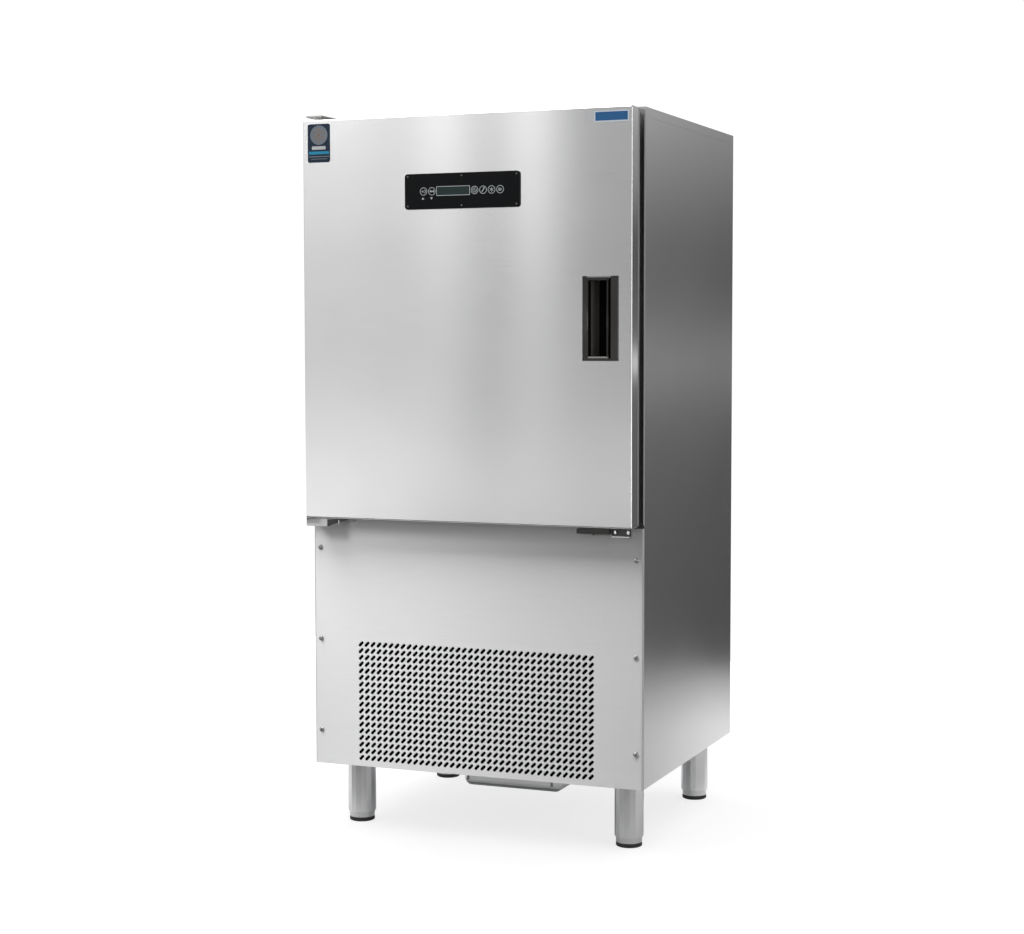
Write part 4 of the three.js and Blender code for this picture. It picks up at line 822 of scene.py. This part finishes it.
def symbol_strokes(symbol, x, z):
    """Outlines of a symbol's strokes round (x, z)."""
    outlines = []
    for path, width in symbol:
        if isinstance(path[0], tuple):
            points = [(x + px, z + pz) for px, pz in path]
        else:
            points = arc(x + path[0], z + path[1], *path[2:])
        outlines.append(stroke(points, width))
    return outlines


def print_piece(name, groups, body, finish="print_ink", y=INK_FACE, thickness=0.1):
    """Flat print. Each group of outlines is filled on its own, so crossing strokes don't cut each other."""
    plates = [plate(f"{name}_{i}", outlines, y - INK_LAYER * (i % 3), thickness)
              for i, outlines in enumerate(groups)]
    new_object(name, merge(bpy.data.meshes.new(name), *plates), EXTRA[finish], body)


for i, (place, symbol) in enumerate(zip(KEY_PLACES, SYMBOLS)):
    strokes = [[outline] for outline in symbol_strokes(symbol, place, KEYS_Z)]
    print_piece(f"key_print_{i + 1}", [ring(place, KEYS_Z, 8.6, 7.5)] + strokes, f"key_{i + 1}")
frame_outer = rounded_outline(-59.6, 19.6, KEYS_Z - 10.2, KEYS_Z + 10.2, 1.0, 3)
frame_inner = rounded_outline(-58.5, 18.5, KEYS_Z - 9.1, KEYS_Z + 9.1, 0.5, 3)
print_piece("display_frame", [[frame_outer, frame_inner]], "door")
print_piece("arrow_up", [[[(-94.6, 1273.6), (-88.4, 1273.6), (-91.5, 1278.6)]]], "door")
print_piece("arrow_down", [[[(-74.2, 1278), (-68, 1278), (-71.1, 1273)]]], "door")


# ---- screws, bolt --------------------------------------------------------------------------------
def screw(name, place, radius, height, body, finish, recess=True):
    """Pan head facing the front, with a cross recess or plain."""
    x, y, z = place
    dome = [(radius * math.cos(a), -height * (0.2 + 0.8 * math.sin(a))) for a in quarter(7)[:-1]]
    head = lathe([(0.01, 0), (radius, 0)] + dome + [(0.01, -height)], at(x, y, z), 24, "Y")
    obj = new_object(name, mesh_of(name, *head), EXTRA[finish], body)
    if recess:
        arm, half = radius * 0.62, radius * 0.12
        depth = (y - height - 0.3, y - height * 0.45)
        cross = boxes(((x - arm, x + arm), depth, (z - half, z + half)),
                      ((x - half, x + half), depth, (z - arm, z + arm)))
        tool = bpy.data.objects.new(name + "_tool", mesh_of(name + "_tool", *cross))
        scene.collection.objects.link(tool)
        cutter = obj.modifiers.new("recess", "BOOLEAN")
        cutter.object = tool
        cutter.operation = "DIFFERENCE"
        cutter.solver = "EXACT"
        cutter.use_self = True
        bpy.context.view_layer.update()
        graph = bpy.context.evaluated_depsgraph_get()
        made = bpy.data.meshes.new_from_object(obj.evaluated_get(graph))
        obj.modifiers.clear()
        obj.data = made
        bpy.data.objects.remove(tool)
    soften(obj)


for i, (x, z) in enumerate([(x, z) for x in (-379, 379) for z in (497.5, 288, 77)]):
    screw(f"panel_screw_{i + 1}", (x, 0, z), 6.0, 3.6, "cabinet", "screw_steel")
for i, (x, z) in enumerate([(x, z) for z in (1259, 1323) for x in (-127.7, 0, 127.7)]):
    screw(f"bezel_screw_{i + 1}", (x, -60, z), 1.8, 0.5, "door", "screw_dark")
screw("hinge_bolt", (-293, 0, 555), 7.2, 4.4, "cabinet", "lip_steel", recess=False)


# ---- label and bare plate ------------------------------------------------------------------------
def crystal(x, z, reach):
    """Six plain arms with a pair of twigs each."""
    lines = []
    for k in range(6):
        a = math.radians(60 * k + 30)
        lines.append([stroke([(x, z), polar(x, z, reach, a)], 1.5)])
        for turn in (-45, 45):
            start = polar(x, z, reach * 0.55, a)
            lines.append([stroke([start, polar(*start, reach * 0.36, a + math.radians(turn))], 1.2)])
    return lines


LABEL_FACE = DOOR_FACE - 0.15
MOTIF = (-346.5, 1422.8)
PRINTS = [
    ("label_ground", "label_slate", LABEL_FACE, 0.15, [[rounded_outline(-374.5, -318.8, 1362.4, 1447.4, 5)]]),
    ("label_disc", "label_disc", LABEL_FACE - 0.05, 0.05, [ring(*MOTIF, 21.4, 0.01)[:1]]),
    ("label_crystal", "label_tan", LABEL_FACE - 0.1, 0.05, crystal(*MOTIF, 16)),
    ("label_bar_1", "label_pale", LABEL_FACE - 0.05, 0.05, [[rounded_outline(-364, -330, 1391, 1398.4, 1)]]),
    ("label_bar_2", "label_blue", LABEL_FACE - 0.05, 0.05,
     [[rounded_outline(-371.5, -321.5, 1380.6, 1387, 1)]]),
    ("label_bar_3", "label_disc", LABEL_FACE - 0.05, 0.05,
     [[rounded_outline(-371, -321, 1374.5, 1376.5, 0.6)], [rounded_outline(-366, -326, 1369.5, 1371, 0.5)]]),
    ("plate_ground", "label_pale", DOOR_FACE - 0.5, 0.5, [[rounded_outline(281, 380.5, 1423.6, 1449, 1.2)]]),
    ("plate_rim", "plate_pale", DOOR_FACE - 0.54, 0.04, [[rounded_outline(302.6, 379, 1425, 1447.6, 1.0)]]),
    ("plate_field", "plate_blue", DOOR_FACE - 0.58, 0.04,
     [[rounded_outline(304.8, 376.8, 1427.2, 1445.4, 0.6)]]),
]
for name, finish, y, thickness, groups in PRINTS:
    print_piece(name, groups, "door", finish, y, thickness)


# ---- stage ---------------------------------------------------------------------------------------
# Painted floor brightness the steel sees: (share of the way, brightness) ahead of the object and round it.
FLOOR_AHEAD = [(0.0, 0.5), (0.1, 0.42), (0.2, 0.12), (0.32, 0.1), (1.0, 0.14)]
FLOOR_BEHIND = [(0.0, 0.76), (0.3, 0.7), (0.4, 0.54), (0.52, 0.32), (0.7, 0.14), (1.0, 0.1)]
FLOOR_EDGE = [(-2.6, -3.4), (-0.4, -3.6), (3.4, -3.4), (3.4, -0.4), (2.4, 1.9), (0.2, 2.3), (-2.6, 2.3),
              (-3.6, 0.0)]
# Brightness of the room: (degrees above the horizon, value) to the left, to the right and behind, then
# (degrees left of the front, factor) for the lower and the upper part of the front wall.
LEFT_HEIGHTS = [(-25, 0.1), (-9, 0.15), (-7.2, 0.7), (-5.2, 2.3), (-3.2, 0.74), (-0.7, 0.44), (2, 0.56),
                (4, 0.8), (6.5, 1.02), (12, 0.8), (25, 0.42)]
RIGHT_HEIGHTS = [(-25, 0.06), (-9, 0.1), (-7.2, 0.6), (-5.2, 1.5), (-2.4, 0.34), (2, 0.33), (7, 0.48),
                 (12, 0.55), (25, 0.3)]
BACK_HEIGHTS = [(-25, 0.6), (-9, 0.1), (-4, 0.12), (-1.3, 0.14), (-0.75, 0.9), (-0.2, 0.14), (2.5, 0.1),
                (5, 0.3), (8, 0.6), (25, 0.8)]
LOW_BEARINGS = [(10, 1.0), (20.4, 1.0), (21.5, 1.5), (22.3, 0.5), (23.0, 0.65), (24.1, 1.18), (25.2, 0.94),
                (26.4, 1.02), (40, 0.95)]
HIGH_BEARINGS = [(10, 1.0), (20.2, 1.0), (21.4, 2.3), (22.3, 0.75), (22.9, 0.85), (23.8, 1.65), (25.0, 0.93),
                 (26.6, 1.05), (40, 1.0)]
HORIZON_BAND = 0.4226  # sine of 25 degrees


def floor_material():
    """Pale floor. What the steel sees of it is painted light: a painted pool that fades away from the object,
    made by no lamp. To the camera it glows into the white backdrop away from the object."""
    painted_pool_middle = (0.4, 0.0, 0.0)
    made = Maker("floor", roughness=0.8)
    made.set("Specular IOR Level", 0.0)
    coords = made.coords.outputs["Object"]

    def ramp(factor, values):
        ramp_node = made.node("ShaderNodeValToRGB", {"Fac": factor})
        stops(ramp_node, values)
        return ramp_node.outputs["Color"]

    def mix(factor, first, second):
        return made.node("ShaderNodeMix", {0: factor, 6: first, 7: second}, data_type="RGBA").outputs[2]

    split = made.node("ShaderNodeSeparateXYZ", {"Vector": coords})
    ahead = ramp(made.ranged(split.outputs["Y"], 0.0, 1.0, -0.32, -4.32), FLOOR_AHEAD)
    away = made.node("ShaderNodeVectorMath", {0: coords, 1: painted_pool_middle}, operation="DISTANCE")
    distance = away.outputs["Value"]
    behind = ramp(made.ranged(distance, 0.0, 1.0, 0.0, 4.0), FLOOR_BEHIND)
    # Mirrored rays that meet one upright line of the side panel land on one slanted line of the floor.
    line = made.node("ShaderNodeVectorMath", {0: coords, 1: (-3.17, 1.0, 0.0)}, operation="DOT_PRODUCT")
    inward = made.ranged(line.outputs["Value"], 0.9, 1.45, -1.57, -0.89)
    painted_pool = made.node("ShaderNodeVectorMath", {0: behind, "Scale": inward}, operation="SCALE")
    seen = mix(made.ranged(split.outputs["Y"], 0.0, 1.0, -0.5, -0.2), ahead, painted_pool.outputs["Vector"])
    path = made.node("ShaderNodeLightPath")
    camera_ray = path.outputs["Is Camera Ray"]
    pale = mix(camera_ray, (0.94, 0.94, 0.94, 1), (0.35, 0.35, 0.35, 1))
    made.set("Base Color", mix(path.outputs["Is Glossy Ray"], pale, seen))
    made.set("Emission Color", (1.0, 1.0, 1.0))
    glow = made.ranged(distance, 0.74, 1.05, 0.6, 2.0)
    own = made.node("ShaderNodeMath", {0: glow, 1: camera_ray}, operation="MULTIPLY")
    made.set("Emission Strength", own.outputs[0])
    return made.material


def stage_sheet(name, corners, material, shown=True):
    """Flat stage piece from its corners in the row frame. One that isn't shown still blocks the lamps' light
    and is mirrored in the steel."""
    mesh = bpy.data.meshes.new(name)
    mesh.from_pydata(corners, [], [tuple(range(len(corners)))])
    obj = bpy.data.objects.new(name, mesh)
    scene.collection.objects.link(obj)
    dress(obj, material)
    obj.visible_camera = obj.visible_diffuse = shown


def studio_world():
    """Room seen in the steel: pale walls to the front and left, a dim room behind on the right. The camera
    sees a plain white backdrop."""
    world = bpy.data.worlds.new("studio")
    scene.world = world
    world.use_nodes = True
    tree = world.node_tree
    for node in list(tree.nodes):
        tree.nodes.remove(node)

    def add(kind, inputs=None, **settings):
        return add_node(tree, kind, inputs, **settings)

    def math_of(operation, *values):
        return add("ShaderNodeMath", dict(enumerate(values)), operation=operation).outputs[0]

    def ranged(value, lowest, highest, low=0.0, high=1.0):
        return add("ShaderNodeMapRange", {"Value": value, "From Min": lowest, "From Max": highest,
                                          "To Min": low, "To Max": high}).outputs["Result"]

    def mix(factor, first, second, **settings):
        return add("ShaderNodeMix", {0: factor, 6: first, 7: second}, data_type="RGBA", **settings).outputs[2]

    def level(degrees):
        return (math.sin(math.radians(degrees)) + HORIZON_BAND) / (2 * HORIZON_BAND)

    def turn(degrees):
        return (degrees - 10) / 30

    def ramp(factor, scale, values):
        made = add("ShaderNodeValToRGB", {"Fac": factor})
        made.color_ramp.interpolation = "EASE"
        stops(made, [(scale(degrees), value) for degrees, value in values])
        return made.outputs["Color"]

    coords = add("ShaderNodeTexCoord")
    split = add("ShaderNodeSeparateXYZ", {"Vector": coords.outputs["Generated"]})
    # Height above the horizon, from 25 degrees below it (0) to 25 degrees above it (1).
    height = ranged(split.outputs["Z"], -HORIZON_BAND, HORIZON_BAND)
    # Bearing to the left of the front, from 10 degrees (0) to 40 degrees (1).
    leftwards = math_of("MULTIPLY", split.outputs["X"], -1.0)
    bearing = ranged(math_of("ARCSINE", leftwards), math.radians(10), math.radians(40))
    low = ranged(height, level(-1), level(-4))
    upper_left = ramp(bearing, turn, [(19.9, 0.0), (22.6, 1.0)])
    lower_left = ramp(bearing, turn, [(22.6, 0.0), (26.4, 1.0)])
    leftness = add("ShaderNodeMix", {0: low, 2: upper_left, 3: lower_left}).outputs["Result"]
    wall = mix(leftness, ramp(height, level, RIGHT_HEIGHTS), ramp(height, level, LEFT_HEIGHTS))
    banded = mix(ranged(height, level(1.0), level(5.5)), ramp(bearing, turn, LOW_BEARINGS),
                 ramp(bearing, turn, HIGH_BEARINGS))
    front = mix(1.0, wall, mix(low, banded, (1, 1, 1, 1)), blend_type="MULTIPLY")
    # 0 behind on the right, 1 everywhere towards the front.
    side = ranged(math_of("MULTIPLY", split.outputs["Y"], -1.0), -0.75, -0.35)
    inward = ranged(split.outputs["X"], 0.27, 0.315, 0.72, 1.0)
    back = add("ShaderNodeVectorMath", {0: ramp(height, level, BACK_HEIGHTS), "Scale": inward},
               operation="SCALE")
    room = mix(side, back.outputs["Vector"], front)
    shade = add("ShaderNodeBackground", {"Color": room, "Strength": 1.0})
    white = add("ShaderNodeBackground", {"Color": (1, 1, 1, 1), "Strength": 1.05})
    path = add("ShaderNodeLightPath")
    mixed = add("ShaderNodeMixShader", {0: path.outputs["Is Camera Ray"], 1: shade.outputs[0],
                                        2: white.outputs[0]})
    add("ShaderNodeOutputWorld", {"Surface": mixed.outputs[0]})


def area_light(name, place, target, size, radiance):
    """Soft box of a given radiance, facing its target."""
    data = bpy.data.lights.new(name, "AREA")
    data.shape = "RECTANGLE"
    data.size, data.size_y = size
    data.energy = radiance * 4 * size[0] * size[1]  # the renderer's radiance is power / (4 * area)
    lamp = bpy.data.objects.new(name, data)
    lamp.location = place
    lamp.rotation_euler = (Vector(target) - Vector(place)).to_track_quat("-Z", "Y").to_euler()
    scene.collection.objects.link(lamp)
    return lamp


stage_sheet("floor", [(x, y, 0) for x, y in FLOOR_EDGE], floor_material())
studio_world()
overhead = area_light("overhead", (0, -0.3, 4.4), (0, -0.3, 0), (7, 7), 1.0)
overhead.visible_glossy = False
low_lamp = area_light("low_lamp", (-3.7, -5.1, 4.0), (-0.3, -0.3, 0.6), (2.2, 2.0), 3.0)
high_lamp = area_light("high_lamp", (-1.0, -1.35, 3.0), (-1.0, -1.35, 0), (2.0, 1.7), 4.6)
low_lamp.visible_diffuse = high_lamp.visible_diffuse = False
# Card left of the door that keeps the lamps' light from passing beside it onto the lower panel.
card_corners = [at(x, DOOR_FACE, z) for x, z in ((-462, 566), (-388, 566), (-388, 820), (-462, 820))]
stage_sheet("flag", card_corners, MATERIALS["grey_plastic"], shown=False)
area_light("right_strip", (3.6, -1.9, 1.3), (0.4, -0.3, 1.1), (0.7, 1.7), 4.2)

# ---- camera --------------------------------------------------------------------------------------
LENS, CAMERA_PLACE = 70.26, (1.7322, -4.3593, 1.1267)
CAMERA_DOWN, CAMERA_ROLL, CAMERA_LEFT = 0.0653, 0.0014, 0.3854  # radians
camera_data = bpy.data.cameras.new("camera")
camera_data.lens = LENS
camera_data.sensor_width = 36
camera_data.clip_end = 100
camera = bpy.data.objects.new("camera", camera_data)
camera.location = CAMERA_PLACE
camera.rotation_euler = (math.pi / 2 - CAMERA_DOWN, CAMERA_ROLL, CAMERA_LEFT)
scene.collection.objects.link(camera)
scene.camera = camera
scene.view_settings.view_transform = "Standard"
